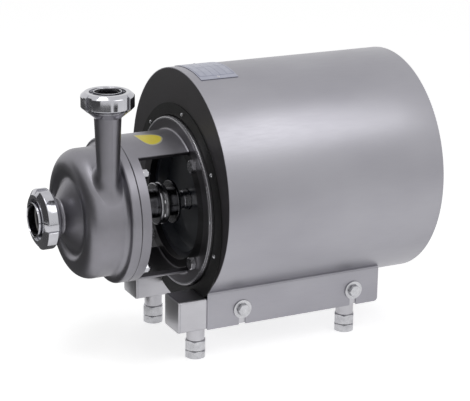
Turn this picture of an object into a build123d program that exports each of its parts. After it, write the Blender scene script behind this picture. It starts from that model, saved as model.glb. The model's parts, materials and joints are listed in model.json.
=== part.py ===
from build123d import *
import os
from math import cos, log, radians, sin, tan

os.makedirs("parts", exist_ok=True)

# The frame: +X runs along the shaft from the suction port to the motor, +Z is up, and the camera side
# of the photograph is -Y. The origin lies on the floor, under the middle of the overall box.

# Clearances
seat_gap = 0.02
running_gap = 0.05
loose_gap = 0.3
bolt_gap = 0.5
slot_gap = 0.5

# Heights, from the floor up
foot_head_height = 12.5
foot_head_gap = 0.5
lock_nut_height = 16.0
boss_height = 22.0
rail_size = 50.0
riser_height = 25.0
motor_foot_height = 100.0
ledge_height = 6.5

boss_bottom = foot_head_height + foot_head_gap + lock_nut_height
rail_bottom = boss_bottom + boss_height
rail_top = rail_bottom + rail_size
riser_top = rail_top + riser_height
shaft_z = riser_top + motor_foot_height

# Lengths along the shaft, from the suction port back
suction_reach = 54.5
casing_depth = 74.0
lantern_reach = 107.0
shroud_length = 366.0

overall_length = suction_reach + casing_depth + lantern_reach + shroud_length
x_suction = -overall_length / 2
x_face = x_suction + suction_reach
x_joint = x_face + casing_depth
x_front = x_joint + lantern_reach
x_rear = x_front + shroud_length

# Base rails, feet and cross bars
rail_wall = 3.0
rail_corner = 4.0
rail_centre_y = 80.0
rail_nose = 47.0
rail_length = 346.0
cap_thickness = 3.0
foot_inset = 40.0
foot_rear_inset = 44.0
foot_bolt_radius = 10.0
foot_nut_flats = 30.0
foot_bolt_reach = 14.0
foot_bolt_flats = 16.0
foot_bolt_head = 6.4
foot_bolt_end = 2.0
foot_nut_height = 8.0
boss_radius = 14.0
foot_stud_radius = 5.0
side_bolt_radius = 5.0
weld_nut_flats = 16.0
weld_nut_height = 8.0
cross_bar_size = 24.0
cross_bar_wall = 2.5
cross_bar_inset = 96.0
cross_bar_rise = 1.0
cross_bar_spacing = 180.0

x_rail = x_front - rail_nose
foot_spacing = rail_length - foot_inset - foot_rear_inset
rail_inner_y = rail_centre_y - rail_size / 2
rail_outer_y = rail_centre_y + rail_size / 2

# Shroud: its cylinder stands on the ledges of its side plates
shroud_radius = 177.5
sheet = 1.5
skirt_sheet = 2.0
ledge_reach = 97.54
skirt_corner = 6.0
side_bolt_inset = 59.0
side_bolt_spacing = 195.0
front_plate_thickness = 3.0
ring_margin = 22.0
ring_drop = 4.5
ring_thickness = 2.0
ring_hole_gap = 1.5
ring_screw_inset = 8.5
ring_screw_count = 7
ring_screw_start = 97.2
ring_screw_shank = 2.0
ring_screw_head = 3.0
ring_screw_head_height = 2.0
ring_screw_length = 6.0
plate_hole_gap = 2.5
cover_recess = 22.0
cover_thickness = 2.0
cover_rim = 14.0
vent_length = 70.0
vent_width = 4.0
vent_pitch_y = 84.0
vent_pitch_z = 26.0
vent_rows = 7
gland_radius = 13.0
gland_flange = 18.0
gland_bore = 7.0
gland_inside = 6.0
gland_outside = 19.0
gland_y = 105.0
gland_drop = 75.0

# Bolts, washers and plate on the shroud
washer_radius = 15.0
washer_thickness = 2.0
side_bolt_flats = 17.0
side_bolt_head = 6.4
side_bolt_length = 20.0
plate_start = 14.0
plate_length = 61.0
plate_from = -14.5
plate_to = 16.5
plate_thickness = 0.8
plate_gap = 0.2
rivet_margin = 1.6
rivet_radius = 2.2
rivet_height = 1.0

shroud_inner = shroud_radius - sheet
skirt_ledge_drop = (shroud_inner**2 - ledge_reach**2) ** 0.5
ledge_z = rail_top + ledge_height
shroud_z = ledge_z + skirt_ledge_drop
shroud_rise = shroud_z - shaft_z
skirt_outer_y = rail_outer_y + skirt_sheet
rail_rear = x_rail + rail_length

# Lantern
flange_radius = 111.0
casing_flange = 15.0
lantern_flange = 15.0
motor_flange_radius = 131.0
motor_flange_front = 9.0
motor_flange_back = 6.0
lantern_wall = 7.0
roof_half_angle = 32.0
web_half_angle = 30.0
stud_circle_radius = 103.0
stud_radius = 4.0
flange_bolt_circle_radius = 107.5
flange_bolt_radius = 6.0
flange_bolt_flats = 18.0
flange_bolt_head = 7.5
flange_nut_height = 10.0
joint_chamfer = 1.0
stud_depth = 12.0
stud_washer_radius = 7.8
stud_washer = 1.6
stud_nut_flats = 13.0
stud_nut_height = 6.5
stud_nut_dome = 6.0

x_lantern_back = x_front - motor_flange_front
x_motor = x_front + motor_flange_back
ring_radius = shroud_radius - ring_margin
ring_hole_radius = motor_flange_radius + ring_hole_gap
ring_screw_circle_radius = ring_hole_radius + ring_screw_inset
plate_hole_radius = motor_flange_radius + plate_hole_gap

# Pump casing
bowl_radius = 98.4
bowl_rounding = 25.0
casing_wall = 4.0
rim_radius = 68.0
valley_radius = 59.0
valley_depth = 7.5
cone_rise = 13.7
neck_radius = 27.0
neck_bore = 24.0
discharge_x = 37.0
discharge_y = 72.0
discharge_height = 202.5
throat_radius = 12.1
throat_height = 40.0
pipe_wall = 2.8
pipe_bore = 18.2

x_discharge = x_joint - discharge_x
z_discharge = shaft_z + discharge_height

# Screwed unions: a threaded collar on the casing, a weld liner and the slotted nut that holds it
suction_bore = 25.0
suction_nut_radius = 46.0
suction_nut_hole = 31.0
suction_stub = 4.0
discharge_bore = 19.0
discharge_nut_radius = 39.0
discharge_nut_hole = 26.5
discharge_stub = 0.6
liner_wall = 1.5
suction_nut_length = 24.0
discharge_nut_length = 25.5
nut_crown_reach = 9.0
nut_crown_depth = 5.5
nut_end_wall = 4.2
nut_thread_wall = 7.0
nut_chamfer = 4.0
nut_slots = 4
nut_slot_angle = 16.0
suction_slot_start = 85.0
discharge_slot_start = -32.0
nut_slot_depth = 3.0
nut_play = 0.3
liner_collar = 3.5
gasket_thickness = 2.5
suction_cone_length = 6.5
discharge_cone_length = 11.0
collar_step = 2.5

# Back plate, seal and shaft line
plate_radius = 97.0
plate_in_casing = 6.0
plate_in_lantern = 4.0
plate_lip_radius = 86.0
ring_cord = 3.6
ring_groove_start = 5.0
ring_groove_depth = 2.6
seal_boss_radius = 36.0
seal_boss_length = 14.0
shaft_radius = 12.5
seat_radius = 24.0
seat_length = 8.0
seal_ring_radius = 20.0
seal_ring_length = 7.0
bellows_length = 15.0
bellows_waves = 4
seal_collar_length = 7.0
hub_radius = 22.0
hub_length = 44.0
hub_floor = 4.0
clamp_radius = 32.0
clamp_length = 14.0
clamp_inset = 19.0
clamp_screw_radius = 3.0
clamp_screw_reach = 13.0
slinger_radius = 33.0
slinger_thickness = 4.0

# Impeller
impeller_radius = 80.0
impeller_gap = 3.0
disc_thickness = 5.0
vane_count = 6
vane_thickness = 3.5
vane_angle = 28.0
eye_radius = 30.0
vane_entry = 6.0
vane_tip_radius = 82.0
vane_depth_eye = 61.0
vane_depth_middle = 45.5
vane_depth_rim = 37.0
impeller_hub_radius = 20.0
impeller_hub_length = 36.0
impeller_shaft_radius = 10.0
impeller_nut_length = 16.0
impeller_nut_radius = 15.0

x_impeller = x_joint - plate_in_casing - impeller_gap

# Motor
shaft_end_radius = 14.0
shaft_end_length = 60.0
bearing_bore = 15.0
bearing_radius = 31.0
bearing_width = 16.0
bearing_ring = 5.0
bearing_front_inset = 18.0
bearing_seat_length = 18.0
ball_radius = 4.7
ball_count = 9
motor_plate_radius = 125.0
motor_plate_thickness = 11.0
spigot_radius = 90.0
spigot_length = 4.5
housing_radius = 90.0
housing_wall = 8.0
housing_start = 30.0
housing_length = 200.0
fin_radius = 99.0
fin_thickness = 3.0
fin_count = 24
foot_half_gauge = 80.0
foot_first_hole = 63.0
foot_hole_spacing = 140.0
foot_length = 172.0
foot_width = 36.0
riser_width = 26.0
foot_plate = 10.0
foot_leg = 7.0
foot_leg_y = 66.0
foot_leg_top = 56.0
stator_start = 35.0
core_length = 120.0
core_radius = 53.0
air_gap = 0.6
core_shaft_radius = 19.0
winding_length = 20.0
winding_inner = 58.0
winding_outer = 80.0
fan_radius = 78.0
fan_width = 24.0
fan_blades = 7
fan_start = 24.0
fan_disc = 2.5
fan_hub_radius = 22.0
fan_shaft_radius = 12.0
fan_slots = 16
fan_slot_width = 4.0
fan_cover_inner = 92.0
fan_cover_length = 62.0
fan_cover_sheet = 2.0
terminal_box_size = 92.0
terminal_box_height = 48.0
terminal_inset = 64.0
pad_rise = 3.0
pad_cut_height = 20.0

x_housing = x_motor + housing_start
x_housing_end = x_housing + housing_length
x_core = x_housing + stator_start
x_bearing_front = x_motor + bearing_front_inset
x_bearing_rear = x_housing_end + 2.0
x_terminal = x_housing + terminal_inset
housing_inner = housing_radius - housing_wall


def at(x, z=shaft_z):
    """A plane square to the shaft at x, facing +X: its own axes run along +Y and +Z."""
    return Plane(origin=(x, 0, z), x_dir=(0, 1, 0), z_dir=(1, 0, 0))


# A place is a plane whose normal is the axis that things are turned about.
shaft_place = Plane(origin=(0, 0, shaft_z), x_dir=(0, 0, 1), z_dir=(1, 0, 0))
shroud_place = Plane(origin=(0, 0, shroud_z), x_dir=(0, 0, 1), z_dir=(1, 0, 0))
suction_place = Plane(origin=(x_suction + suction_stub, 0, shaft_z), x_dir=(0, 0, 1), z_dir=(1, 0, 0))
discharge_place = Plane(
    origin=(x_discharge, -discharge_y, z_discharge), x_dir=(0, -1, 0), z_dir=(0, 0, -1)
)


def half_section(points, rounding=None, place=shaft_place):
    """A closed half section, as (distance along the axis, radius) points, with rounded corners."""
    through_axis = Plane(origin=place.origin, x_dir=place.z_dir, z_dir=place.y_dir)
    with BuildSketch(through_axis) as half:
        with BuildLine():
            if rounding is None:
                Polyline(*points, close=True)
            else:
                FilletPolyline(*points, radius=rounding, close=True)
        make_face()
    return half.sketch


def turn(points, rounding=None, place=shaft_place, mode=Mode.ADD):
    """Turns a half section once round its axis."""
    revolve(half_section(points, rounding, place), axis=Axis(place.origin, place.z_dir), mode=mode)


def ring(start, length, outer, inner, place=shaft_place, mode=Mode.ADD):
    """A plain ring."""
    end = start + length
    turn([(start, inner), (end, inner), (end, outer), (start, outer)], place=place, mode=mode)


def sector(points, start, sweep, place=shaft_place, mode=Mode.ADD):
    """Turns a half section part of the way round, from the start angle on."""
    axis = Axis(place.origin, place.z_dir)
    part = revolve(half_section(points, place=place), axis=axis, revolution_arc=sweep, mode=Mode.PRIVATE)
    add(part.rotate(axis, start), mode=mode)


def hexagon(flats):
    return RegularPolygon(flats / 2, 6, major_radius=False)


# The base: two square rails on four levelling feet

rail_z = (rail_bottom + rail_top) / 2
foot_x = x_rail + foot_inset
side_bolt_x = x_front + side_bolt_inset
riser_x = x_motor + foot_first_hole + foot_hole_spacing / 2
stud_places = [
    (riser_x + step, side * foot_half_gauge)
    for side in (-1, 1)
    for step in (-foot_hole_spacing / 2, foot_hole_spacing / 2)
]
foot_places = [
    (foot_x + step, side * rail_centre_y)
    for side in (-1, 1)
    for step in (0, foot_spacing)
]

with BuildPart() as base_rails:
    for side in (-1, 1):
        y = side * rail_centre_y
        rail_start = Plane(origin=(x_rail + cap_thickness, y, rail_z), x_dir=(0, 1, 0), z_dir=(1, 0, 0))
        with BuildSketch(rail_start):
            RectangleRounded(rail_size, rail_size, rail_corner)
            inside = rail_size - 2 * rail_wall
            RectangleRounded(inside, inside, rail_corner - rail_wall, mode=Mode.SUBTRACT)
        extrude(amount=rail_length - 2 * cap_thickness)
        # Weld nuts for the bolts of the side plates
        inner_face = Plane(
            origin=(side_bolt_x, side * (rail_outer_y - rail_wall), rail_z),
            x_dir=(1, 0, 0), z_dir=(0, -side, 0),
        )
        with BuildSketch(inner_face):
            with Locations((0, 0), (side_bolt_spacing, 0)):
                hexagon(weld_nut_flats)
        extrude(amount=weld_nut_height)
        with Locations((side_bolt_x, side * rail_outer_y, rail_z),
                       (side_bolt_x + side_bolt_spacing, side * rail_outer_y, rail_z)):
            Cylinder(
                side_bolt_radius + seat_gap, 3 * weld_nut_height, rotation=(90, 0, 0),
                mode=Mode.SUBTRACT,
            )
    # Room for the levelling bolts
    with Locations(*[(x, y, rail_bottom) for x, y in foot_places]):
        Cylinder(
            foot_bolt_radius + running_gap, rail_wall,
            align=(Align.CENTER, Align.CENTER, Align.MIN), mode=Mode.SUBTRACT,
        )
    with Locations(*[(x, y, rail_top) for x, y in stud_places]):
        Cylinder(foot_stud_radius + bolt_gap, 3 * rail_wall, mode=Mode.SUBTRACT)

# Threaded bosses for the feet, welded under the rails
with BuildPart() as foot_bosses:
    with BuildSketch(Plane.XY.offset(boss_bottom)):
        with Locations(*foot_places):
            Circle(boss_radius)
            Circle(foot_bolt_radius + running_gap, mode=Mode.SUBTRACT)
    extrude(amount=boss_height)

with BuildPart() as rail_end_caps:
    for cap_x in (x_rail, x_rail + rail_length - cap_thickness):
        with BuildSketch(at(cap_x, rail_z)):
            with GridLocations(2 * rail_centre_y, 0, 2, 1):
                RectangleRounded(rail_size, rail_size, rail_corner)
        extrude(amount=cap_thickness)

with BuildPart() as cross_bars:
    bar_z = rail_bottom + cross_bar_rise + cross_bar_size / 2
    for x in (x_rail + cross_bar_inset, x_rail + cross_bar_inset + cross_bar_spacing):
        with BuildSketch(Plane(origin=(x, -rail_inner_y, bar_z), x_dir=(1, 0, 0), z_dir=(0, 1, 0))):
            Rectangle(cross_bar_size, cross_bar_size)
            inside = cross_bar_size - 2 * cross_bar_wall
            Rectangle(inside, inside, mode=Mode.SUBTRACT)
        extrude(amount=2 * rail_inner_y)


def foot_bolt(x, y):
    """A levelling bolt: its hexagonal head stands on the floor, its shank runs up into the boss."""
    with BuildPart() as bolt:
        with BuildSketch():
            with Locations((x, y)):
                hexagon(foot_nut_flats)
        extrude(amount=foot_head_height)
        chamfer(bolt.faces().sort_by(Axis.Z)[0].edges(), 1.2)
        with Locations((x, y, foot_head_height)):
            Cylinder(
                foot_bolt_radius, rail_bottom + foot_bolt_reach - foot_head_height,
                align=(Align.CENTER, Align.CENTER, Align.MIN),
            )
    return bolt


foot_bolts = [foot_bolt(x, y) for x, y in foot_places]

with BuildPart() as foot_lock_nuts:
    with BuildSketch(Plane.XY.offset(foot_head_height + foot_head_gap)):
        with Locations(*foot_places):
            hexagon(foot_nut_flats)
            Circle(foot_bolt_radius + running_gap, mode=Mode.SUBTRACT)
    extrude(amount=lock_nut_height)

with BuildPart() as motor_risers:
    with BuildSketch(Plane.XY.offset(rail_top)):
        with Locations((riser_x, -foot_half_gauge), (riser_x, foot_half_gauge)):
            RectangleRounded(foot_length, riser_width, 3)
        with Locations(*stud_places):
            Circle(foot_stud_radius + bolt_gap, mode=Mode.SUBTRACT)
    extrude(amount=riser_height)

foot_top = riser_top + foot_plate

with BuildPart() as motor_foot_bolts:
    with BuildSketch(Plane.XY.offset(foot_top)):
        with Locations(*stud_places):
            hexagon(foot_bolt_flats)
    extrude(amount=foot_bolt_head)
    with BuildSketch(Plane.XY.offset(foot_top)):
        with Locations(*stud_places):
            Circle(foot_stud_radius)
    extrude(amount=-(foot_plate + riser_height + rail_wall + foot_nut_height + foot_bolt_end))

with BuildPart() as motor_foot_nuts:
    with BuildSketch(Plane.XY.offset(rail_top - rail_wall)):
        with Locations(*stud_places):
            hexagon(foot_bolt_flats)
            Circle(foot_stud_radius + seat_gap, mode=Mode.SUBTRACT)
    extrude(amount=-foot_nut_height)

# The shroud over the motor, its front plate and its rear cover

slot_inner_y = rail_inner_y - slot_gap
slot_width = skirt_outer_y - slot_inner_y
slot_y = slot_inner_y + slot_width / 2

with BuildPart() as shroud:
    with BuildSketch(at(x_front, shroud_z)):
        Circle(shroud_radius)
        Circle(shroud_inner, mode=Mode.SUBTRACT)
    extrude(amount=shroud_length)
    # Room for the rails, which run in under the shroud
    with Locations((x_front, -slot_y, ledge_z - skirt_sheet), (x_front, slot_y, ledge_z - skirt_sheet)):
        Box(
            rail_rear - x_front + slot_gap, slot_width, shroud_radius,
            align=(Align.MIN, Align.CENTER, Align.MAX), mode=Mode.SUBTRACT,
        )
    # Each side plate hangs from a ledge that is bent in to meet the cylinder
    ledge_inner_y = ledge_reach + seat_gap
    for side in (-1, 1):
        with BuildSketch(Plane(origin=(x_front, 0, 0), x_dir=(0, 1, 0), z_dir=(1, 0, 0))):
            with BuildLine():
                Polyline(
                    (side * ledge_inner_y, ledge_z),
                    (side * skirt_outer_y, ledge_z),
                    (side * skirt_outer_y, rail_bottom),
                    (side * rail_outer_y, rail_bottom),
                    (side * rail_outer_y, ledge_z - skirt_sheet),
                    (side * ledge_inner_y, ledge_z - skirt_sheet),
                    close=True,
                )
            make_face()
        extrude(amount=rail_rear - x_front)
    skirt_corners = [
        edge
        for edge in shroud.edges().filter_by(Axis.Y)
        if abs(edge.center().X - rail_rear) < 0.01 and abs(edge.center().Z - rail_bottom) < 0.01
    ]
    fillet(skirt_corners, skirt_corner)
    for y in (-rail_outer_y, rail_outer_y):
        with Locations((side_bolt_x, y, rail_z), (side_bolt_x + side_bolt_spacing, y, rail_z)):
            Cylinder(
                side_bolt_radius + bolt_gap, 3 * skirt_sheet, rotation=(90, 0, 0), mode=Mode.SUBTRACT
            )

with BuildPart() as skirt_washers:
    for side in (-1, 1):
        skirt_face = Plane(
            origin=(side_bolt_x, side * skirt_outer_y, rail_z), x_dir=(1, 0, 0), z_dir=(0, side, 0)
        )
        with BuildSketch(skirt_face):
            with Locations((0, 0), (side_bolt_spacing, 0)):
                Circle(washer_radius)
                Circle(side_bolt_radius + bolt_gap, mode=Mode.SUBTRACT)
        extrude(amount=washer_thickness)

with BuildPart() as skirt_bolts:
    for side in (-1, 1):
        bolt_seat = Plane(
            origin=(side_bolt_x, side * (skirt_outer_y + washer_thickness), rail_z),
            x_dir=(1, 0, 0), z_dir=(0, side, 0),
        )
        with BuildSketch(bolt_seat):
            with Locations((0, 0), (side_bolt_spacing, 0)):
                hexagon(side_bolt_flats)
        extrude(amount=side_bolt_head)
        with BuildSketch(bolt_seat):
            with Locations((0, 0), (side_bolt_spacing, 0)):
                Circle(side_bolt_radius)
        extrude(amount=-side_bolt_length)


def rail_notches(z):
    """Cuts a sketch, centred at height z, clear of the two rails."""
    with Locations((-slot_y, rail_top + slot_gap - z), (slot_y, rail_top + slot_gap - z)):
        Rectangle(slot_width, shroud_radius, align=(Align.CENTER, Align.MAX), mode=Mode.SUBTRACT)


def ring_screw_circles(radius, mode=Mode.ADD):
    with PolarLocations(ring_screw_circle_radius, ring_screw_count, ring_screw_start):
        Circle(radius, mode=mode)


with BuildPart() as front_plate:
    with BuildSketch(at(x_front)):
        with Locations((0, shroud_rise)):
            Circle(shroud_inner - seat_gap)
        Circle(plate_hole_radius, mode=Mode.SUBTRACT)
        rail_notches(shaft_z)
        ring_screw_circles(ring_screw_shank + seat_gap, Mode.SUBTRACT)
    extrude(amount=front_plate_thickness)

with BuildPart() as closing_ring:
    with BuildSketch(at(x_front - ring_thickness)):
        with Locations((0, -ring_drop)):
            Circle(ring_radius)
        Circle(ring_hole_radius, mode=Mode.SUBTRACT)
        rail_notches(shaft_z)
        ring_screw_circles(ring_screw_shank + seat_gap, Mode.SUBTRACT)
    extrude(amount=ring_thickness)

with BuildPart() as ring_screws:
    with BuildSketch(at(x_front - ring_thickness)):
        ring_screw_circles(ring_screw_head)
    extrude(amount=-ring_screw_head_height)
    with BuildSketch(at(x_front - ring_thickness)):
        ring_screw_circles(ring_screw_shank)
    extrude(amount=ring_screw_length)

x_cover = x_rear - cover_recess

with BuildPart() as rear_cover:
    with BuildSketch(at(x_cover, shroud_z)):
        Circle(shroud_inner - seat_gap)
        with GridLocations(vent_pitch_y, vent_pitch_z, 3, vent_rows):
            SlotOverall(vent_length, vent_width, mode=Mode.SUBTRACT)
        with Locations((gland_y, -gland_drop)):
            Circle(gland_radius, mode=Mode.SUBTRACT)
    extrude(amount=cover_thickness)
    with BuildSketch(at(x_cover, shroud_z)):
        Circle(shroud_inner - seat_gap)
        Circle(shroud_inner - cover_thickness, mode=Mode.SUBTRACT)
    extrude(amount=cover_rim)

with BuildPart() as cable_gland:
    gland_place = Plane(
        origin=(x_cover, gland_y, shroud_z - gland_drop), x_dir=(0, 0, 1), z_dir=(1, 0, 0)
    )
    turn(
        [
            (-gland_inside, gland_bore), (-gland_inside, gland_radius - seat_gap),
            (cover_thickness, gland_radius - seat_gap), (cover_thickness, gland_flange),
            (cover_thickness + 3, gland_flange), (cover_thickness + 3, gland_radius),
            (gland_outside, gland_radius - 2), (gland_outside, gland_bore),
        ],
        place=gland_place,
    )

with BuildPart() as rating_plate:
    low = shroud_radius + plate_gap
    high = low + plate_thickness
    plate_end = x_front + plate_start + plate_length
    ring_section = [
        (x_front + plate_start, low), (plate_end, low), (plate_end, high), (x_front + plate_start, high),
    ]
    sector(ring_section, plate_from, plate_to - plate_from, place=shroud_place)

with BuildPart() as plate_rivets:
    rivet_x = x_front + plate_start + plate_length / 2
    for angle in (plate_from + rivet_margin, plate_to - rivet_margin):
        out = Vector(0, -sin(radians(angle)), cos(radians(angle)))
        seat = Vector(rivet_x, 0, shroud_z) + out * high
        with BuildSketch(Plane(origin=seat, x_dir=(1, 0, 0), z_dir=out)):
            Circle(rivet_radius)
        extrude(amount=rivet_height)

# The lantern between pump and motor

with BuildPart() as lantern:
    turn(
        [
            (x_joint, plate_radius + seat_gap),
            (x_joint, flange_radius - joint_chamfer),
            (x_joint + joint_chamfer, flange_radius),
            (x_lantern_back, flange_radius),
            (x_lantern_back, motor_flange_radius),
            (x_motor, motor_flange_radius),
            (x_motor, spigot_radius + seat_gap),
            (x_lantern_back, spigot_radius + seat_gap),
            (x_lantern_back, flange_radius - lantern_wall),
            (x_joint + lantern_flange, flange_radius - lantern_wall),
            (x_joint + lantern_flange, plate_lip_radius),
            (x_joint + plate_in_lantern, plate_lip_radius),
            (x_joint + plate_in_lantern, plate_radius + seat_gap),
        ],
        [0, 0, 0, 3, 2, 1, 0.5, 0.5, 3, 3, 1, 0, 0],
    )
    window = [
        (x_joint + lantern_flange, flange_radius - 2 * lantern_wall),
        (x_lantern_back, flange_radius - 2 * lantern_wall),
        (x_lantern_back, flange_radius + lantern_wall),
        (x_joint + lantern_flange, flange_radius + lantern_wall),
    ]
    window_sweep = 180 - roof_half_angle - web_half_angle
    sector(window, roof_half_angle, window_sweep, mode=Mode.SUBTRACT)
    sector(window, 180 + web_half_angle, window_sweep, mode=Mode.SUBTRACT)
    with BuildSketch(at(x_joint)):
        with PolarLocations(stud_circle_radius, 4, 45):
            Circle(stud_radius + bolt_gap)
    extrude(amount=lantern_flange, mode=Mode.SUBTRACT)
    with BuildSketch(at(x_lantern_back)):
        with PolarLocations(flange_bolt_circle_radius, 4, 45):
            Circle(flange_bolt_radius + bolt_gap)
    extrude(amount=x_motor - x_lantern_back, mode=Mode.SUBTRACT)

with BuildPart() as flange_bolts:
    with BuildSketch(at(x_lantern_back)):
        with PolarLocations(flange_bolt_circle_radius, 4, 45):
            hexagon(flange_bolt_flats)
    extrude(amount=-flange_bolt_head)
    with BuildSketch(at(x_lantern_back)):
        with PolarLocations(flange_bolt_circle_radius, 4, 45):
            Circle(flange_bolt_radius)
    extrude(amount=x_motor - x_lantern_back + motor_plate_thickness + flange_nut_height + 2)

with BuildPart() as flange_nuts:
    with BuildSketch(at(x_motor + motor_plate_thickness)):
        with PolarLocations(flange_bolt_circle_radius, 4, 45):
            hexagon(flange_bolt_flats)
            Circle(flange_bolt_radius + seat_gap, mode=Mode.SUBTRACT)
    extrude(amount=flange_nut_height)

# The pump casing, with a threaded collar for each union

x_flange = x_joint - casing_flange
union_seat = nut_end_wall + nut_play + liner_collar + gasket_thickness
x_suction_seat = x_suction + suction_stub + union_seat
x_suction_shoulder = x_suction + suction_stub + suction_nut_length + loose_gap
suction_thread = suction_nut_radius - nut_thread_wall
discharge_thread = discharge_nut_radius - nut_thread_wall
discharge_shoulder = discharge_nut_length + loose_gap
throat_depth = discharge_height - throat_height

with BuildPart() as pump_casing:
    turn(
        [
            (x_joint, 0),
            (x_joint, flange_radius - joint_chamfer),
            (x_joint - joint_chamfer, flange_radius),
            (x_flange, flange_radius),
            (x_flange, bowl_radius),
            (x_face, bowl_radius),
            (x_face, rim_radius),
            (x_face + valley_depth, valley_radius),
            (x_face - cone_rise, neck_radius),
            (x_suction_shoulder + suction_cone_length, neck_radius),
            (x_suction_shoulder + suction_cone_length, neck_radius + 4),
            (x_suction_shoulder, suction_thread + collar_step),
            (x_suction_shoulder, suction_thread - running_gap),
            (x_suction_seat, suction_thread - running_gap),
            (x_suction_seat, 0),
        ],
        [0, 0, 0, 4, 8, bowl_rounding, 8, 9, 3, 2, 0.5, 0.5, 0.5, 1, 0],
    )
    turn([(union_seat, 0), (union_seat, pipe_bore + pipe_wall),
          (throat_depth, throat_radius + pipe_wall), (throat_depth, 0)], place=discharge_place)
    turn(
        [
            (union_seat, 0),
            (union_seat, discharge_thread - running_gap),
            (discharge_shoulder, discharge_thread - running_gap),
            (discharge_shoulder, discharge_thread + collar_step),
            (discharge_shoulder + discharge_cone_length, pipe_bore + pipe_wall + 0.5),
            (discharge_shoulder + discharge_cone_length, 0),
        ],
        [0, 1, 0.5, 0.5, 1, 0],
        place=discharge_place,
    )
    turn(
        [
            (x_joint + 1, 0),
            (x_joint + 1, plate_radius + seat_gap),
            (x_joint - plate_in_casing, plate_radius + seat_gap),
            (x_joint - plate_in_casing, bowl_radius - casing_wall),
            (x_face + casing_wall, bowl_radius - casing_wall),
            (x_face + casing_wall, rim_radius + 1.5),
            (x_face + valley_depth + 5, valley_radius + 0.3),
            (x_face - cone_rise + 3, neck_bore),
            (x_suction_seat - 1, neck_bore),
            (x_suction_seat - 1, 0),
        ],
        [0, 0, 0, 0, bowl_rounding - casing_wall, 2, 2, 6, 0, 0],
        mode=Mode.SUBTRACT,
    )
    turn([(union_seat - 1, 0), (union_seat - 1, pipe_bore), (throat_depth, throat_radius),
          (throat_depth, 0)], place=discharge_place, mode=Mode.SUBTRACT)
    with BuildSketch(at(x_joint)):
        with PolarLocations(stud_circle_radius, 4, 45):
            Circle(stud_radius + seat_gap)
    extrude(amount=-stud_depth, mode=Mode.SUBTRACT)

# Studs stand in the casing's flange and take their dome nuts behind the lantern's

x_stud_washer = x_joint + lantern_flange
x_stud_nut = x_stud_washer + stud_washer

with BuildPart() as casing_studs:
    with BuildSketch(at(x_joint - stud_depth)):
        with PolarLocations(stud_circle_radius, 4, 45):
            Circle(stud_radius)
    extrude(amount=stud_depth + lantern_flange + stud_washer + stud_nut_height)

with BuildPart() as casing_washers:
    with BuildSketch(at(x_stud_washer)):
        with PolarLocations(stud_circle_radius, 4, 45):
            Circle(stud_washer_radius)
            Circle(stud_radius + bolt_gap, mode=Mode.SUBTRACT)
    extrude(amount=stud_washer)

with BuildPart() as casing_dome_nuts:
    with BuildSketch(at(x_stud_nut)):
        with PolarLocations(stud_circle_radius, 4, 45):
            hexagon(stud_nut_flats)
    extrude(amount=stud_nut_height)
    with Locations(at(x_stud_nut + stud_nut_height)):
        with PolarLocations(stud_circle_radius, 4, 45):
            Sphere(stud_nut_dome)
    with BuildSketch(at(x_stud_nut)):
        with PolarLocations(stud_circle_radius, 4, 45):
            Circle(stud_radius + seat_gap)
    extrude(amount=stud_nut_height + 1, mode=Mode.SUBTRACT)


def union_liner(place, bore, thread, stub):
    """The weld end that the union nut holds against the casing: a short tube with a collar."""
    collar_start = nut_end_wall + nut_play
    with BuildPart() as liner:
        turn(
            [
                (-stub, bore), (-stub, bore + liner_wall), (collar_start, bore + liner_wall),
                (collar_start, thread - 1.5), (collar_start + liner_collar, thread - 1.5),
                (collar_start + liner_collar, bore),
            ],
            place=place,
        )
    return liner


def union_gasket(place, bore, thread):
    with BuildPart() as gasket:
        ring(union_seat - gasket_thickness, gasket_thickness, thread - 2, bore + 1, place)
    return gasket


def union_nut(place, radius, hole, length, first_slot):
    """A slotted union nut, turned by hand or with a hook spanner."""
    thread = radius - nut_thread_wall
    with BuildPart() as nut:
        turn(
            [
                (0, hole), (0, radius - nut_crown_reach), (nut_crown_depth, radius),
                (length - nut_chamfer, radius),
                (length, radius - nut_chamfer), (length, thread), (nut_end_wall, thread),
                (nut_end_wall, hole),
            ],
            [0.8, 2.5, 4, 1.5, 0.5, 0.5, 0.8, 0.5],
            place,
        )
        slot = [(-1, radius - nut_slot_depth), (length + 1, radius - nut_slot_depth),
                (length + 1, radius + 1), (-1, radius + 1)]
        for step in range(nut_slots):
            sector(slot, first_slot + step * 360 / nut_slots, nut_slot_angle, place, Mode.SUBTRACT)
    return nut


suction_liner = union_liner(suction_place, suction_bore, suction_thread, suction_stub)
suction_gasket = union_gasket(suction_place, suction_bore, suction_thread)
suction_nut = union_nut(
    suction_place, suction_nut_radius, suction_nut_hole, suction_nut_length, suction_slot_start
)
discharge_liner = union_liner(discharge_place, discharge_bore, discharge_thread, discharge_stub)
discharge_gasket = union_gasket(discharge_place, discharge_bore, discharge_thread)
discharge_nut = union_nut(
    discharge_place, discharge_nut_radius, discharge_nut_hole, discharge_nut_length,
    discharge_slot_start,
)

# The back plate and the mechanical seal

x_boss_end = x_joint + plate_in_lantern + seal_boss_length - 2
seat_start = x_boss_end - seat_length + 1

with BuildPart() as back_plate:
    turn(
        [
            (x_joint - plate_in_casing, shaft_radius + 1.5),
            (x_joint - plate_in_casing, plate_radius),
            (x_joint + plate_in_lantern, plate_radius),
            (x_joint + plate_in_lantern, plate_lip_radius - 4),
            (x_joint + plate_in_lantern - 4, plate_lip_radius - 10),
            (x_joint + plate_in_lantern - 4, seal_boss_radius + 8),
            (x_joint + plate_in_lantern, seal_boss_radius),
            (x_boss_end, seal_boss_radius),
            (x_boss_end, seat_radius + seat_gap),
            (seat_start, seat_radius + seat_gap),
            (seat_start, shaft_radius + 1.5),
        ]
    )
    ring(x_joint - ring_groove_start, ring_cord, plate_radius + 1, plate_radius - ring_groove_depth,
         mode=Mode.SUBTRACT)

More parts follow.
